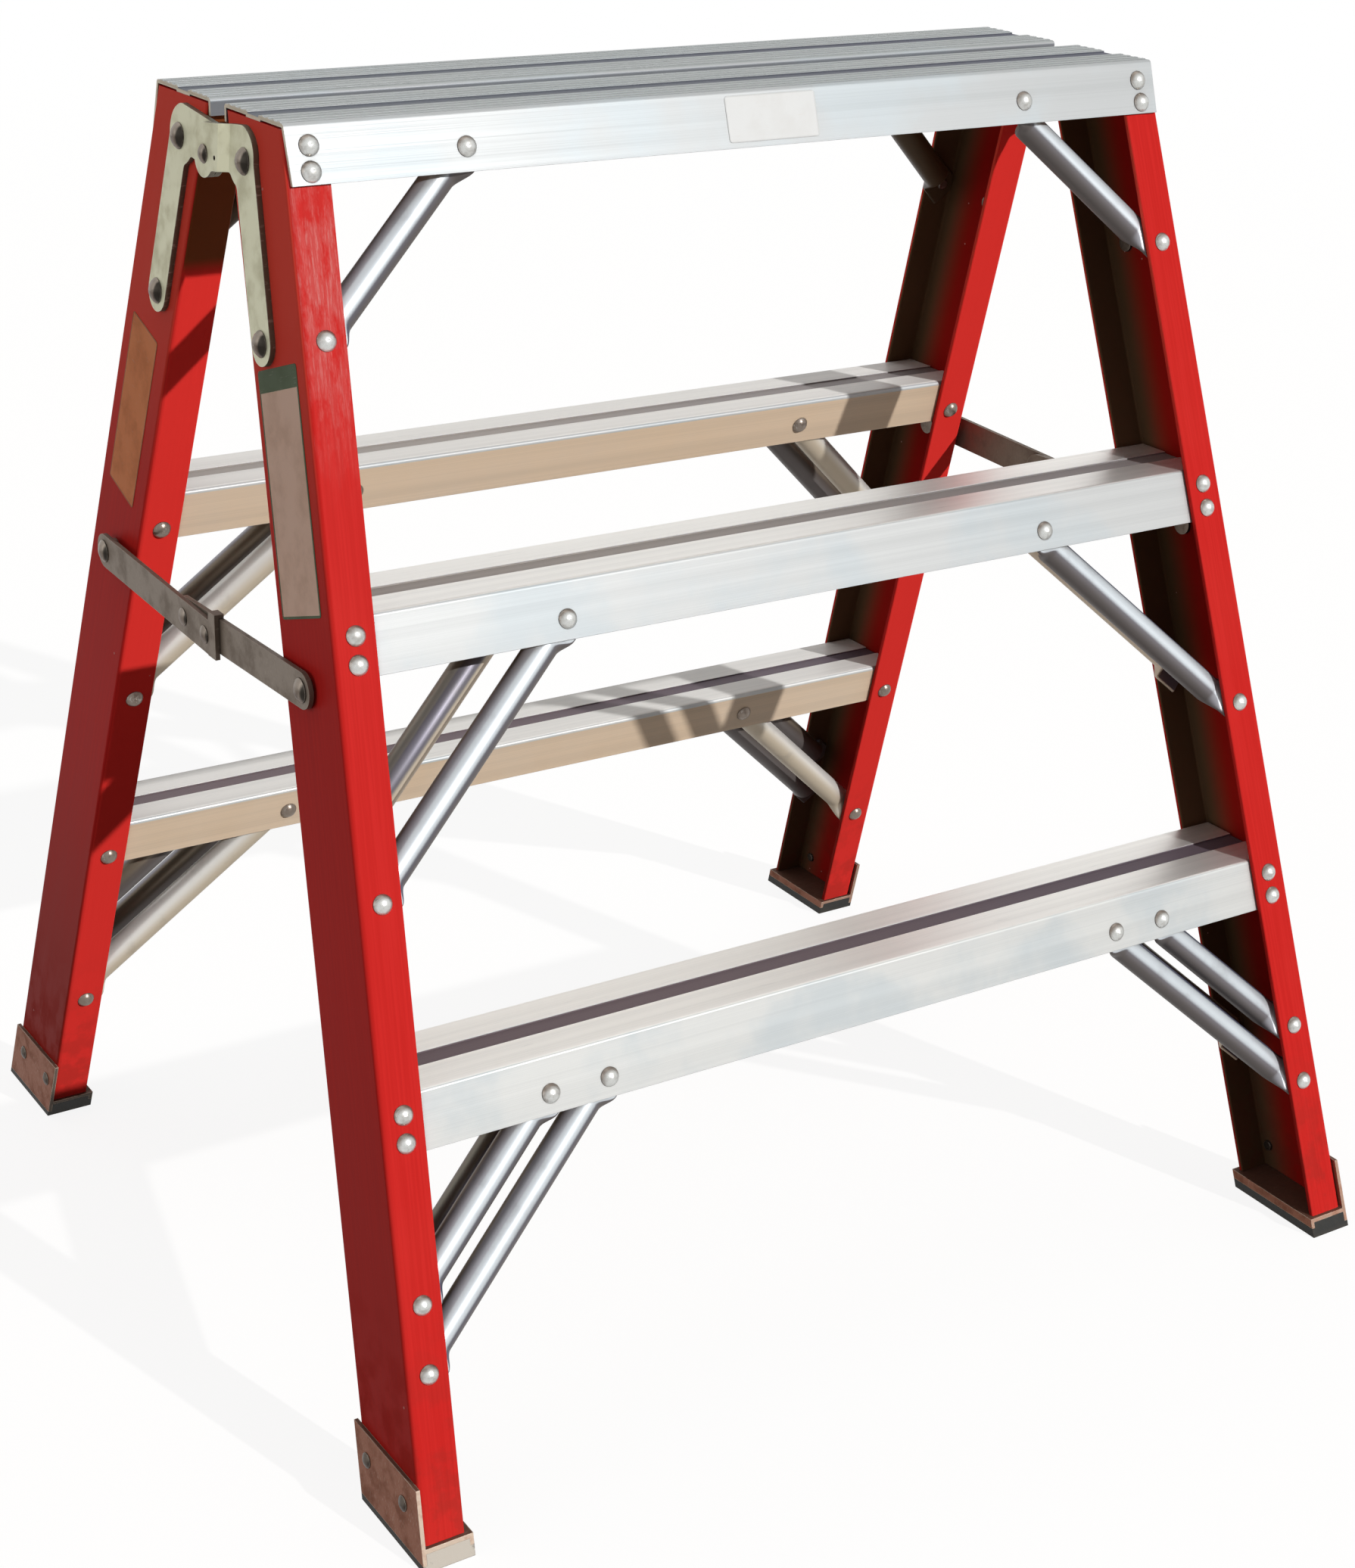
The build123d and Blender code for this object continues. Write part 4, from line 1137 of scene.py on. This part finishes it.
@dataclass
class DeckRibs:
    """Fine ribs along the strips of the platform.

    Attributes:
        firsts: Distance of each strip's first rib from the middle of the platform.
        count: Number of ribs on a strip.
        pitch: Distance between ribs.
        width: Width of a rib.
        rise: Height of a rib above the strip.
        root: Depth of its foot below the strip's face.
        edge: Rounding of its upper edges.
        edge_faces: Number of faces across that rounding.
        end_gap: Distance of its ends from the platform's ends.
    """

    firsts: tuple[float, ...] = (0.0185, 0.0695)
    count: int = 4
    pitch: float = 0.0085
    width: float = 0.0034
    rise: float = 0.0005
    root: float = 0.0002
    edge: float = 0.0003
    edge_faces: int = 2
    end_gap: float = 0.0004

    def build(self, side: Side, material: bpy.types.Material) -> None:
        """Model the ribs of one half of the platform.

        Args:
            side: Frame that the half belongs to.
            material: Finish of the platform.
        """
        deck = f"{side.word}_deck"
        low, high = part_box(deck)
        mesh = bmesh.new()
        length = high.x - low.x - 2 * self.end_gap
        shape = Matrix.Diagonal((length, self.width, self.rise + self.root, 1.0))
        for first in self.firsts:
            for number in range(self.count):
                y = (first + number * self.pitch) * side.value
                middle = Vector(((low.x + high.x) / 2, y, high.z + (self.rise - self.root) / 2))
                bmesh.ops.create_cube(mesh, size=1.0, matrix=Matrix.Translation(middle) @ shape)
        upper = [edge for edge in mesh.edges if all(vertex.co.z > high.z for vertex in edge.verts)]
        bevelled(mesh, Rounded.EDGES, upper, self.edge, self.edge_faces)
        as_piece(mesh, f"{deck}_ribs", material, side.body)


@dataclass
class Steps:
    """The two halves of the platform and the four treads.

    Attributes:
        ribs: Fine ribs of the platform.
        looks: How the platform, the middle treads and the lower treads wear.
    """

    ribs: DeckRibs = field(default_factory=DeckRibs)
    looks: tuple[StepLook, ...] = (
        StepLook(
            "deck",
            tread=tint(172, 177, 175),
            groove=tint(106, 110, 118),
            bare=tint(188, 190, 190),
            shine=0.20,
            behind=0.20,
            gloss=0.02,
            ribbed=0.35,
            # Painted shade on the seam's lip.
            seam=0.75,
            arris=0.0034,
        ),
        StepLook(
            "middle_tread",
            tread=tint(254, 252, 247),
            groove=tint(178, 170, 164),
            bare=tint(202, 203, 202),
            shine=0.70,
        ),
        StepLook(
            "lower_tread",
            tread=tint(254, 252, 247),
            groove=tint(122, 107, 111),
            bare=tint(216, 216, 213),
            shine=0.64,
        ),
    )

    def dress(self, nodes: Mapping[str, bpy.types.Object], lines: StileLines) -> None:
        """Give each step the finish of its height.

        Args:
            nodes: All CAD nodes by name.
            lines: Slope that the aprons follow.
        """
        for look in self.looks:
            names = [f"{side.word}_{look.name}" for side in Side]
            low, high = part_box(f"{Side.BACK.word}_{look.name}")
            far = high.y - (high.z - low.z) * lines.lean
            material = GroovedSheetFinish(f"{look.name}_sheet", high.z, low.y, far, look).material()
            dress(nodes, names, material)
            if look.ribbed:
                for side in Side:
                    self.ribs.build(side, material)


@dataclass(frozen=True)
class BraceRun:
    """Where one brace runs.

    Attributes:
        name: Name of the brace within its quarter.
        flange: Flange that it is riveted to.
        step: Name of the step that it holds.
        long: Whether it is a long or a short brace.
        apron_seat: Depth of its upper flat below the flange's outer face.
        apron_rivet: Depth of its upper rivet below the step's top.
    """

    name: str
    flange: Flange
    step: str
    long: bool
    apron_seat: float
    apron_rivet: float


@dataclass
class Braces:
    """Brace tubes, pressed flat and riveted at both ends.

    Attributes:
        radius: Radius of the round tube.
        flat: Thickness of a pressed end.
        flat_width: Width of a pressed end.
        lead: Length of the flat beyond its rivet, towards the tube.
        taper: Length over which flat turns into round.
        tail: Length of the flat beyond its rivet, towards its end.
        standoff: Gap between the round tube and the sheet that it passes.
        offset: Distance of the rivet from the tube's middle line.
        reach: Distance of a long brace's upper rivet from the web.
        drop: Height of a long brace between its rivets.
        spacing: Distance between the long and the short brace.
        rivet_edge: Distance of the lower rivet from the web.
        deck_rivet: Depth of the upper rivet below the platform.
        tread_rivet: Depth of the upper rivet below a tread's top.
        sheet: Thickness of the steps' sheet.
        groove: Depth of the steps' grooves.
        wall: Thickness of the stile's wall.
        web_gap: Gap between the tube's end and the web.
        end_gap: Gap between the tube's end and the step's sheet.
        facets: Number of sides of the round tube.
        rings: Number of rings over which flat turns into round.
        fold: Thickness of the tube's wall at its pressed end.
        finish: Finish of the tubes.
    """

    radius: float = 0.0110
    flat: float = 0.0034
    flat_width: float = 0.0273
    lead: float = 0.0080
    taper: float = 0.0140
    tail: float = 0.0120
    standoff: float = 0.0004
    offset: float = 0.0015
    reach: float = 0.1757
    drop: float = 0.1533
    spacing: float = 0.0323
    rivet_edge: float = 0.0165
    deck_rivet: float = 0.0226
    tread_rivet: float = 0.0240
    sheet: float = 0.0026
    groove: float = 0.0013
    wall: float = 0.0042
    web_gap: float = 0.0025
    end_gap: float = 0.0005
    facets: int = 48
    rings: int = 12
    fold: float = 0.0011
    finish: DrawnTubeFinish = DrawnTubeFinish()

    def runs(self) -> list[BraceRun]:
        """The six braces of one quarter.

        Returns:
            Where each of them runs.
        """
        inside = (self.wall + self.sheet, self.tread_rivet)
        return [
            BraceRun("top_brace", Flange.OUTER, "deck", False, 0.0, self.deck_rivet),
            BraceRun("middle_outer_brace", Flange.OUTER, "middle_tread", True, *inside),
            BraceRun("middle_inner_brace", Flange.INNER, "middle_tread", True, *inside),
            BraceRun("lower_long_brace", Flange.OUTER, "lower_tread", True, *inside),
            BraceRun("lower_short_brace", Flange.OUTER, "lower_tread", False, *inside),
            BraceRun("lower_inner_brace", Flange.INNER, "lower_tread", True, *inside),
        ]

    def span(self, run: BraceRun) -> Span:
        """Reach and drop of a brace; the short one runs parallel to the long one.

        Args:
            run: Where the brace runs.

        Returns:
            Distance of its upper rivet from the web, and height between its rivets.
        """
        slope = math.atan2(self.drop, self.reach - self.rivet_edge)
        if run.long:
            return self.reach, self.drop
        return self.reach - self.spacing / math.sin(slope), self.drop - self.spacing / math.cos(slope)

    def build(self, lines: StileLines) -> None:
        """Model every brace, in place of its CAD node.

        Args:
            lines: Sloping faces of the stiles.
        """
        material = self.finish.material(lines)
        for run in self.runs():
            for side in Side:
                for end in End:
                    quarter = f"{side.word}_{end.word}_{run.name}"
                    mesh = self.tube(run, lines)
                    bmesh.ops.transform(mesh, matrix=mirrored(side, end), verts=mesh.verts)
                    bmesh.ops.recalc_face_normals(mesh, faces=mesh.faces)
                    piece = as_piece(mesh, f"{quarter}_tube", material, side.body)
                    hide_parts(quarter)

    def tube(self, run: BraceRun, lines: StileLines) -> bmesh.types.BMesh:
        """One brace of the back right quarter, in its place.

        Args:
            run: Where the brace runs.
            lines: Sloping faces of the stiles.

        Returns:
            The closed tube.
        """
        step_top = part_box(f"back_{run.step}")[1].z
        reach, drop = self.span(run)
        upper_z = step_top - run.apron_rivet
        lower_z = upper_z - drop
        upper = Vector((lines.web_x(upper_z) - reach, lines.flange_y(upper_z, run.flange), upper_z))
        lower = Vector((lines.web_x(lower_z) - self.rivet_edge, lines.flange_y(lower_z, run.flange), lower_z))
        outwards = lines.flange_normal * run.flange.value
        along = (lower - upper).normalized()
        across = along.cross(outwards)
        mesh = self.crimped(run, (lower - upper).length, -math.copysign(self.offset, across.z))
        placed = Matrix((outwards, across, along)).transposed().to_4x4()
        placed.translation = upper
        bmesh.ops.transform(mesh, matrix=placed, verts=mesh.verts)
        inset = self.wall + self.web_gap
        web = Vector((lines.web_x(lower_z), 0.0, lower_z)) - lines.web_normal * inset
        sheet = Vector((0.0, 0.0, step_top - self.sheet - self.groove - self.end_gap))
        self.trim(mesh, web, lines.web_normal)
        self.trim(mesh, sheet, Vector((0.0, 0.0, 1.0)))
        return mesh

    def crimped(self, run: BraceRun, length: float, shift: float) -> bmesh.types.BMesh:
        """Tube along Z from its upper rivet, with X out of the flange.

        Args:
            run: Where the brace runs.
            length: Distance between its rivets.
            shift: Place of the tube's middle line across the flange.

        Returns:
            The open tube, with its own place kept for the finish.
        """
        round_depth = max(run.apron_seat, self.wall) + self.standoff + self.radius
        upper_depth = run.apron_seat + self.flat / 2
        lower_depth = self.wall + self.flat / 2
        shares = [step / self.rings for step in range(self.rings + 1)]
        eased = [share * share * (3.0 - 2.0 * share) for share in shares]
        parts = list(zip(shares, eased))
        first = [(self.lead + self.taper * share, upper_depth, 1.0 - part) for share, part in parts]
        end = length - self.lead
        last = [(end - self.taper * (1.0 - share), lower_depth, part) for share, part in parts]
        stations = [(-self.tail, upper_depth, 1.0), *first, *last, (length + self.tail, lower_depth, 1.0)]
        mesh = bmesh.new()
        start = Matrix.Translation((0.0, shift, 0.0))
        ring = bmesh.ops.create_circle(mesh, segments=self.facets, radius=self.radius, matrix=start)["verts"]
        edges = list(mesh.edges)
        pressed = (self.radius, 0.0)
        centre = Vector((0.0, shift, 0.0))
        for number, (place, depth, share) in enumerate(stations):
            if number:
                grown = bmesh.ops.extrude_edge_only(mesh, edges=edges)["geom"]
                ring = [item for item in grown if isinstance(item, bmesh.types.BMVert)]
                sides = [item for item in grown if isinstance(item, bmesh.types.BMEdge)]
                edges = [edge for edge in sides if set(edge.verts) <= set(ring)]
            target = Vector((-(depth * share + round_depth * (1.0 - share)), shift, place))
            pressed = self.press(mesh, ring, centre, target, pressed, share)
            centre = target
        keep_place(mesh, "tube")
        return mesh

    def press(
        self,
        mesh: bmesh.types.BMesh,
        ring: Sequence[bmesh.types.BMVert],
        centre: Vector,
        target: Vector,
        pressed: Span,
        share: float,
    ) -> Span:
        """Move a ring of the tube to its station and press it flat.

        Args:
            mesh: Mesh that the ring belongs to.
            ring: Vertices of the ring.
            centre: Middle of the ring before.
            target: Middle of the ring after.
            pressed: Radius and spread of the ring's two half circles before.
            share: How flat the ring gets, from nought to one.

        Returns:
            Radius and spread of the half circles after.
        """
        radius = self.radius * (1.0 - share) + self.flat / 2 * share
        spread = self.radius * (1.0 - share) + self.flat_width / 2 * share - radius
        growth = (radius / pressed[0],) * 3
        about = Matrix.Translation(-centre)
        for sign in (-1.0, 1.0):
            half = [vertex for vertex in ring if (vertex.co.y - centre.y) * sign > TINY]
            bmesh.ops.translate(mesh, verts=half, vec=(0.0, -sign * pressed[1], 0.0))
            bmesh.ops.scale(mesh, verts=half, vec=growth, space=about)
            bmesh.ops.translate(mesh, verts=half, vec=(0.0, sign * spread, 0.0))
        middle = [vertex for vertex in ring if abs(vertex.co.y - centre.y) <= TINY]
        bmesh.ops.scale(mesh, verts=middle, vec=growth, space=about)
        bmesh.ops.translate(mesh, verts=ring, vec=target - centre)
        return radius, spread

    def trim(self, mesh: bmesh.types.BMesh, point: Vector, normal: Vector) -> None:
        """Cut the tube at a plane, close the cut and fold its edge in.

        Args:
            mesh: The tube.
            point: Point on the plane.
            normal: Side of the plane that is cut away.
        """
        whole = [*mesh.verts, *mesh.edges, *mesh.faces]
        bmesh.ops.bisect_plane(mesh, geom=whole, plane_co=point, plane_no=normal, clear_outer=True)
        rim = [edge for edge in mesh.edges if edge.is_boundary]
        for loop in self.rims(rim):
            cap = bmesh.ops.contextual_create(mesh, geom=loop)["faces"]
            bmesh.ops.inset_region(
                mesh, faces=cap, thickness=self.fold, depth=-self.fold, use_even_offset=True
            )

    @staticmethod
    def rims(edges: Sequence[bmesh.types.BMEdge]) -> list[list[bmesh.types.BMEdge]]:
        """Sort open edges into the loops that they form.

        Args:
            edges: The open edges.

        Returns:
            The edges of each loop.
        """
        waiting = set(edges)
        loops = []
        while waiting:
            loop = [waiting.pop()]
            for edge in loop:
                linked = [other for vertex in edge.verts for other in vertex.link_edges if other in waiting]
                waiting.difference_update(linked)
                loop.extend(linked)
            loops.append(loop)
        return loops


@dataclass
class Fasteners:
    """Rivets, studs and pins.

    Attributes:
        rivet: Finish of the bright aluminium rivets.
        steel: Finish of the brown steel rivets, studs and pins.
    """

    rivet: MetalFinish = MetalFinish(
        "rivet_metal",
        clean=tint(210, 211, 208),
        stained=tint(116, 102, 90),
        worn=tint(236, 236, 234),
        roughness=0.28,
        # Painted shade on inward faces and on the sides of the rivet domes.
        inward_shading=0.9,
        rim=0.85,
        blotch=160.0,
        stain=0.4,
        wear=0.3,
        edge=0.0004,
        grime=0.004,
    )
    steel: MetalFinish = MetalFinish(
        "fastener_steel",
        clean=tint(112, 100, 90),
        stained=tint(76, 62, 52),
        worn=tint(170, 160, 148),
        roughness=0.34,
        blotch=140.0,
        edge=0.0005,
        low=0.08,
        # Painted highlight and painted shade on the sideways domes.
        domed=0.9,
    )

    def dress(self, nodes: Mapping[str, bpy.types.Object]) -> None:
        """Give the rivets, studs and pins their finishes.

        Args:
            nodes: All CAD nodes by name.
        """
        dress(nodes, [f"{side.word}_frame_rivets" for side in Side], self.rivet.material())
        steel = [f"{side.word}_web_fasteners" for side in Side] + ["hinge_pins"]
        for end in End:
            steel += [f"{end.word}_front_spreader_rivet", f"{end.word}_back_spreader_rivets"]
        dress(nodes, steel, self.steel.material())


@dataclass
class Hinges:
    """The four hinge plates.

    Attributes:
        finish: Their pale zinc plating.
    """

    finish: MetalFinish = MetalFinish(
        "hinge_zinc",
        clean=tint(228, 226, 196),
        stained=tint(204, 198, 164),
        worn=tint(240, 239, 222),
        dirt=tint(62, 50, 38),
        metallic=0.45,
        roughness=0.42,
        blotch=48.0,
        stain=0.55,
        wear=0.3,
        edge=0.0007,
        # Painted shadow on the narrow sides of the plates.
        sides=0.85,
    )

    def dress(self, nodes: Mapping[str, bpy.types.Object]) -> None:
        """Give the hinge plates their finish."""
        names = [f"{quarter}_hinge_plate" for quarter in quarters()]
        dress(nodes, names, self.finish.material())


@dataclass
class Stays:
    """The folding spreader bars.

    Attributes:
        finish: Their dull steel.
    """

    finish: MetalFinish = MetalFinish(
        "stay_steel",
        clean=tint(130, 117, 104),
        stained=tint(102, 88, 76),
        worn=tint(164, 152, 138),
        metallic=0.55,
        roughness=0.46,
        blotch=44.0,
        stain=0.5,
        edge=0.0005,
        # Painted shadow on the narrow sides of the bars.
        sides=0.5,
    )

    def dress(self, nodes: Mapping[str, bpy.types.Object]) -> None:
        """Give the bars their finish."""
        names = [f"{end.word}_{side.word}_spreader_bar" for side in Side for end in End]
        dress(nodes, names, self.finish.material())


@dataclass
class Feet:
    """The shoes and their rubber soles.

    Attributes:
        plate: Dull steel of the shoes.
        rubber: Rubber of the soles.
    """

    plate: MetalFinish = MetalFinish(
        "shoe_steel",
        clean=tint(160, 104, 80),
        stained=tint(128, 76, 54),
        worn=tint(222, 204, 184),
        metallic=0.25,
        roughness=0.55,
        blotch=64.0,
        wear=0.85,
        edge=0.0006,
        ends=0.8,
        trodden=0.7,
    )
    rubber: RubberFinish = RubberFinish()

    def dress(self, nodes: Mapping[str, bpy.types.Object]) -> None:
        """Give the shoes and soles their finishes."""
        dress(nodes, [f"{quarter}_shoe" for quarter in quarters()], self.plate.material())
        dress(nodes, [f"{quarter}_sole" for quarter in quarters()], self.rubber.material())


@dataclass
class Stickers:
    """Blank stickers on the two left webs and on the platform's front apron.

    Attributes:
        thickness: Thickness of the film.
        corner: Radius of its corners.
        corner_edges: Number of edges round a corner.
        front_web: Sticker of the front left web.
        back_web: Sticker of the back left web.
        apron: Sticker of the apron.
        front_drop: Drop of the front sticker's middle below the platform.
        front_setback: Its distance from the outer flange.
        back_drop: Drop of the back sticker's middle below the platform.
        back_setback: Its distance from the outer flange.
        apron_x: X of the apron sticker's middle.
        apron_drop: Its drop below the platform.
        apron_face: Y of the apron's face at the platform's height.
    """

    thickness: float = 0.00025
    corner: float = 0.0025
    corner_edges: int = 4
    front_web: Sticker = Sticker(
        "front_web_sticker",
        width=0.0600,
        length=0.1640,
        ground=tint(252, 211, 187),
        band=tint(64, 80, 46),
        header=0.0150,
        border=0.0018,
        age=0.25,
    )
    back_web: Sticker = Sticker(
        "back_web_sticker",
        width=0.0470,
        length=0.1400,
        ground=tint(234, 134, 68),
        band=tint(176, 98, 50),
        header=0.0,
        border=0.0012,
        age=0.35,
    )
    apron: Sticker = Sticker(
        "apron_sticker",
        width=0.0760,
        length=0.0320,
        ground=tint(242, 242, 240),
        band=tint(226, 226, 224),
        header=0.0,
        border=0.0008,
        age=0.06,
    )
    front_drop: float = 0.2325
    front_setback: float = 0.0455
    back_drop: float = 0.2410
    back_setback: float = 0.0405
    apron_x: float = 0.0085
    apron_drop: float = 0.0185
    apron_face: float = 0.1020

    def build(self, lines: StileLines) -> None:
        """Lay the three stickers.

        Args:
            lines: Sloping faces that the web stickers lie on.
        """
        webs = (
            (self.front_web, Side.FRONT, self.front_drop, self.front_setback),
            (self.back_web, Side.BACK, self.back_drop, self.back_setback),
        )
        for sticker, side, drop, setback in webs:
            self.lay(sticker, self.on_web(lines, side, drop, setback), side.body)
        self.lay(self.apron, self.on_apron(lines), Side.FRONT.body)

    def on_web(self, lines: StileLines, side: Side, drop: float, setback: float) -> Matrix:
        """Place on the left web of a frame.

        Args:
            lines: Sloping faces of the stiles.
            side: Frame whose web carries the sticker.
            drop: Drop of its middle below the platform.
            setback: Distance of its middle from the outer flange.

        Returns:
            Matrix that lays a flat film there.
        """
        z = lines.height - drop
        y = (lines.flange_y(z, Flange.OUTER) - setback) * side.value
        middle = Vector((-lines.web_x(z), y, z))
        outwards = lines.web_normal * Vector((-1.0, 1.0, 1.0))
        upwards = Vector((lines.splay, -lines.lean * side.value, 1.0))
        return self.laid(middle, outwards, upwards)

    def on_apron(self, lines: StileLines) -> Matrix:
        """Place on the front apron of the platform.

        Args:
            lines: Slope that the apron follows.

        Returns:
            Matrix that lays a flat film there.
        """
        y = -(self.apron_face + self.apron_drop * lines.lean)
        middle = Vector((self.apron_x, y, lines.height - self.apron_drop))
        outwards = lines.flange_normal * Vector((1.0, -1.0, 1.0))
        return self.laid(middle, outwards, Vector((0.0, lines.lean, 1.0)))

    @staticmethod
    def laid(middle: Vector, outwards: Vector, upwards: Vector) -> Matrix:
        """Matrix of a film with its Z outwards and its Y upwards.

        Args:
            middle: Middle of the film.
            outwards: Way that the film faces.
            upwards: Way of its length, made square to that.

        Returns:
            The matrix.
        """
        facing = outwards.normalized()
        length = (upwards - facing * upwards.dot(facing)).normalized()
        placed = Matrix((length.cross(facing), length, facing)).transposed().to_4x4()
        placed.translation = middle
        return placed

    def lay(self, sticker: Sticker, placed: Matrix, body: str) -> None:
        """Model one sticker.

        Args:
            sticker: Its sizes and colours.
            placed: Matrix that lays it in its place.
            body: CAD body that carries it.
        """
        mesh = bmesh.new()
        bmesh.ops.create_grid(mesh, x_segments=1, y_segments=1, size=0.5)
        bmesh.ops.scale(mesh, vec=(sticker.width, sticker.length, 1.0), verts=mesh.verts)
        bevelled(mesh, Rounded.CORNERS, list(mesh.verts), self.corner, self.corner_edges)
        film = bmesh.ops.extrude_face_region(mesh, geom=list(mesh.faces))["geom"]
        raised = [item for item in film if isinstance(item, bmesh.types.BMVert)]
        bmesh.ops.translate(mesh, verts=raised, vec=(0.0, 0.0, self.thickness))
        bmesh.ops.recalc_face_normals(mesh, faces=mesh.faces)
        keep_place(mesh, "film")
        bmesh.ops.transform(mesh, matrix=placed, verts=mesh.verts)
        as_piece(mesh, sticker.name, sticker.material(), body)


@dataclass(frozen=True)
class Lamp:
    """A distant lamp.

    Attributes:
        name: Name of the lamp.
        strength: Its strength.
        way: Way from the object to the lamp.
        angle: Its apparent width in degrees.
    """

    name: str
    strength: float
    way: tuple[float, float, float]
    angle: float

    def hang(self) -> None:
        """Put the lamp in the scene."""
        bulb = bpy.data.lights.new(self.name, "SUN")
        bulb.energy = self.strength
        bulb.angle = math.radians(self.angle)
        lamp = bpy.data.objects.new(self.name, bulb)
        lamp.rotation_mode = "QUATERNION"
        lamp.rotation_quaternion = Vector(self.way).to_track_quat("Z", "Y")
        bpy.context.scene.collection.objects.link(lamp)


@dataclass
class Studio:
    """Floor, light and camera.

    Attributes:
        floor_radius: Radius of the floor.
        floor_sides: Number of sides of its outline.
        floor_fade: Distances between which it runs out into white.
        floor_colour: Colour of the floor.
        floor_lift: White added to the floor as the camera and mirrors see it.
        sky: Strength of the light from all round.
        lamps: Main lamp in front, soft lamp on the left and soft lamp above.
        eye: Place of the camera.
        turn: Turn from the object's axes to the camera's, as an axis times an angle, in a frame whose X
            is right, Y is down and Z is forward.
        focal_pixels: Focal length in pixels of the photograph.
        long_side: Long side of the photograph in pixels.
        sight: Distance that the camera sees.
    """

    floor_radius: float = 9.0
    floor_sides: int = 96
    floor_fade: Span = (2.6, 7.5)
    floor_colour: Colour = tint(112, 110, 108)
    floor_lift: float = 0.885
    sky: float = 0.15
    lamps: tuple[Lamp, ...] = (
        Lamp("key", 2.5, (0.281, -0.847, 0.453), 0.8),
        Lamp("fill", 0.36, (-0.95, 0.10, 0.28), 40.0),
        Lamp("top", 0.55, (0.05, 0.40, 0.92), 60.0),
    )
    eye: Vector = field(default_factory=lambda: Vector((-1.0889, -1.6949, 1.1888)))
    turn: Vector = field(default_factory=lambda: Vector((1.9174, -0.5413, 0.3927)))
    focal_pixels: float = 3579.5
    long_side: float = 2072.0
    sight: float = 100.0

    def build(self) -> None:
        """Set the stage."""
        bpy.context.scene.view_settings.view_transform = "Standard"
        self.light()
        self.floor()
        self.camera()

    def light(self) -> None:
        """The lamps and even light from all round, on a white background."""
        for lamp in self.lamps:
            lamp.hang()
        world = bpy.data.worlds.new("studio")
        bpy.context.scene.world = world
        world.use_nodes = True
        sheet = NodeSheet(world.node_tree)
        seen = self.seen(sheet)
        strength = seen * (1.0 - self.sky) + self.sky
        light = sheet.node("ShaderNodeBackground", None, {"Color": WHITE, "Strength": strength})
        sheet.node("ShaderNodeOutputWorld", None, {"Surface": light})

    @staticmethod
    def seen(sheet: NodeSheet) -> Wire:
        """Tell what is seen from what gives light.

        Args:
            sheet: Sheet of the world or of a material.

        Returns:
            One for what the camera, mirrors and glass see, nought for light.
        """
        kinds = ("Camera", "Glossy", "Transmission")
        camera, glossy, clear = (
            sheet.node("ShaderNodeLightPath", None, None, f"Is {kind} Ray") for kind in kinds
        )
        return sheet.join("MAXIMUM", sheet.join("MAXIMUM", camera, glossy), clear)

    def floor(self) -> None:
        """Floor that keeps the shadow, looks white and runs out into white."""
        mesh = bmesh.new()
        bmesh.ops.create_circle(mesh, cap_ends=True, segments=self.floor_sides, radius=self.floor_radius)
        data = bpy.data.meshes.new("floor")
        mesh.to_mesh(data)
        mesh.free()
        floor = bpy.data.objects.new("floor", data)
        bpy.context.scene.collection.objects.link(floor)
        sheet = MaterialSheet("floor_paper")
        place = sheet.place()
        distance = sheet.node("ShaderNodeVectorMath", {"operation": "LENGTH"}, {0: place}, "Value")
        far = distance.fade(*self.floor_fade)
        seen = self.seen(sheet)
        paper = sheet.node("ShaderNodeBsdfDiffuse", None, {"Color": self.floor_colour})
        lift = sheet.node("ShaderNodeEmission", None, {"Color": WHITE, "Strength": seen * self.floor_lift})
        lit = sheet.node("ShaderNodeAddShader", None, {0: paper, 1: lift})
        white = sheet.node("ShaderNodeEmission", None, {"Color": WHITE, "Strength": 1.0})
        shader = sheet.node("ShaderNodeMixShader", None, {0: far * seen, 1: lit, 2: white})
        sheet.node("ShaderNodeOutputMaterial", None, {"Surface": shader})
        data.materials.append(sheet.material)

    def camera(self) -> None:
        """Camera at the photograph's view."""
        lens = bpy.data.cameras.new("camera")
        lens.lens = self.focal_pixels / self.long_side * lens.sensor_width
        lens.clip_end = self.sight
        camera = bpy.data.objects.new("camera", lens)
        to_camera = Matrix.Rotation(self.turn.length, 3, self.turn.normalized())
        placed = (to_camera.transposed() @ Matrix.Diagonal((1.0, -1.0, -1.0))).to_4x4()
        placed.translation = self.eye
        camera.matrix_world = placed
        bpy.context.scene.collection.objects.link(camera)
        bpy.context.scene.camera = camera


def main() -> None:
    """Load the frame and build every sub-assembly on it."""
    logging.basicConfig(level=logging.INFO, format="%(message)s")
    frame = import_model()
    nodes = frame["nodes"]
    lines = StileLines.measured()
    Stiles().dress(nodes, lines)
    Steps().dress(nodes, lines)
    Braces().build(lines)
    Fasteners().dress(nodes)
    Hinges().dress(nodes)
    Stays().dress(nodes)
    Feet().dress(nodes)
    Stickers().build(lines)
    Studio().build()


if __name__ == "__main__":
    main()
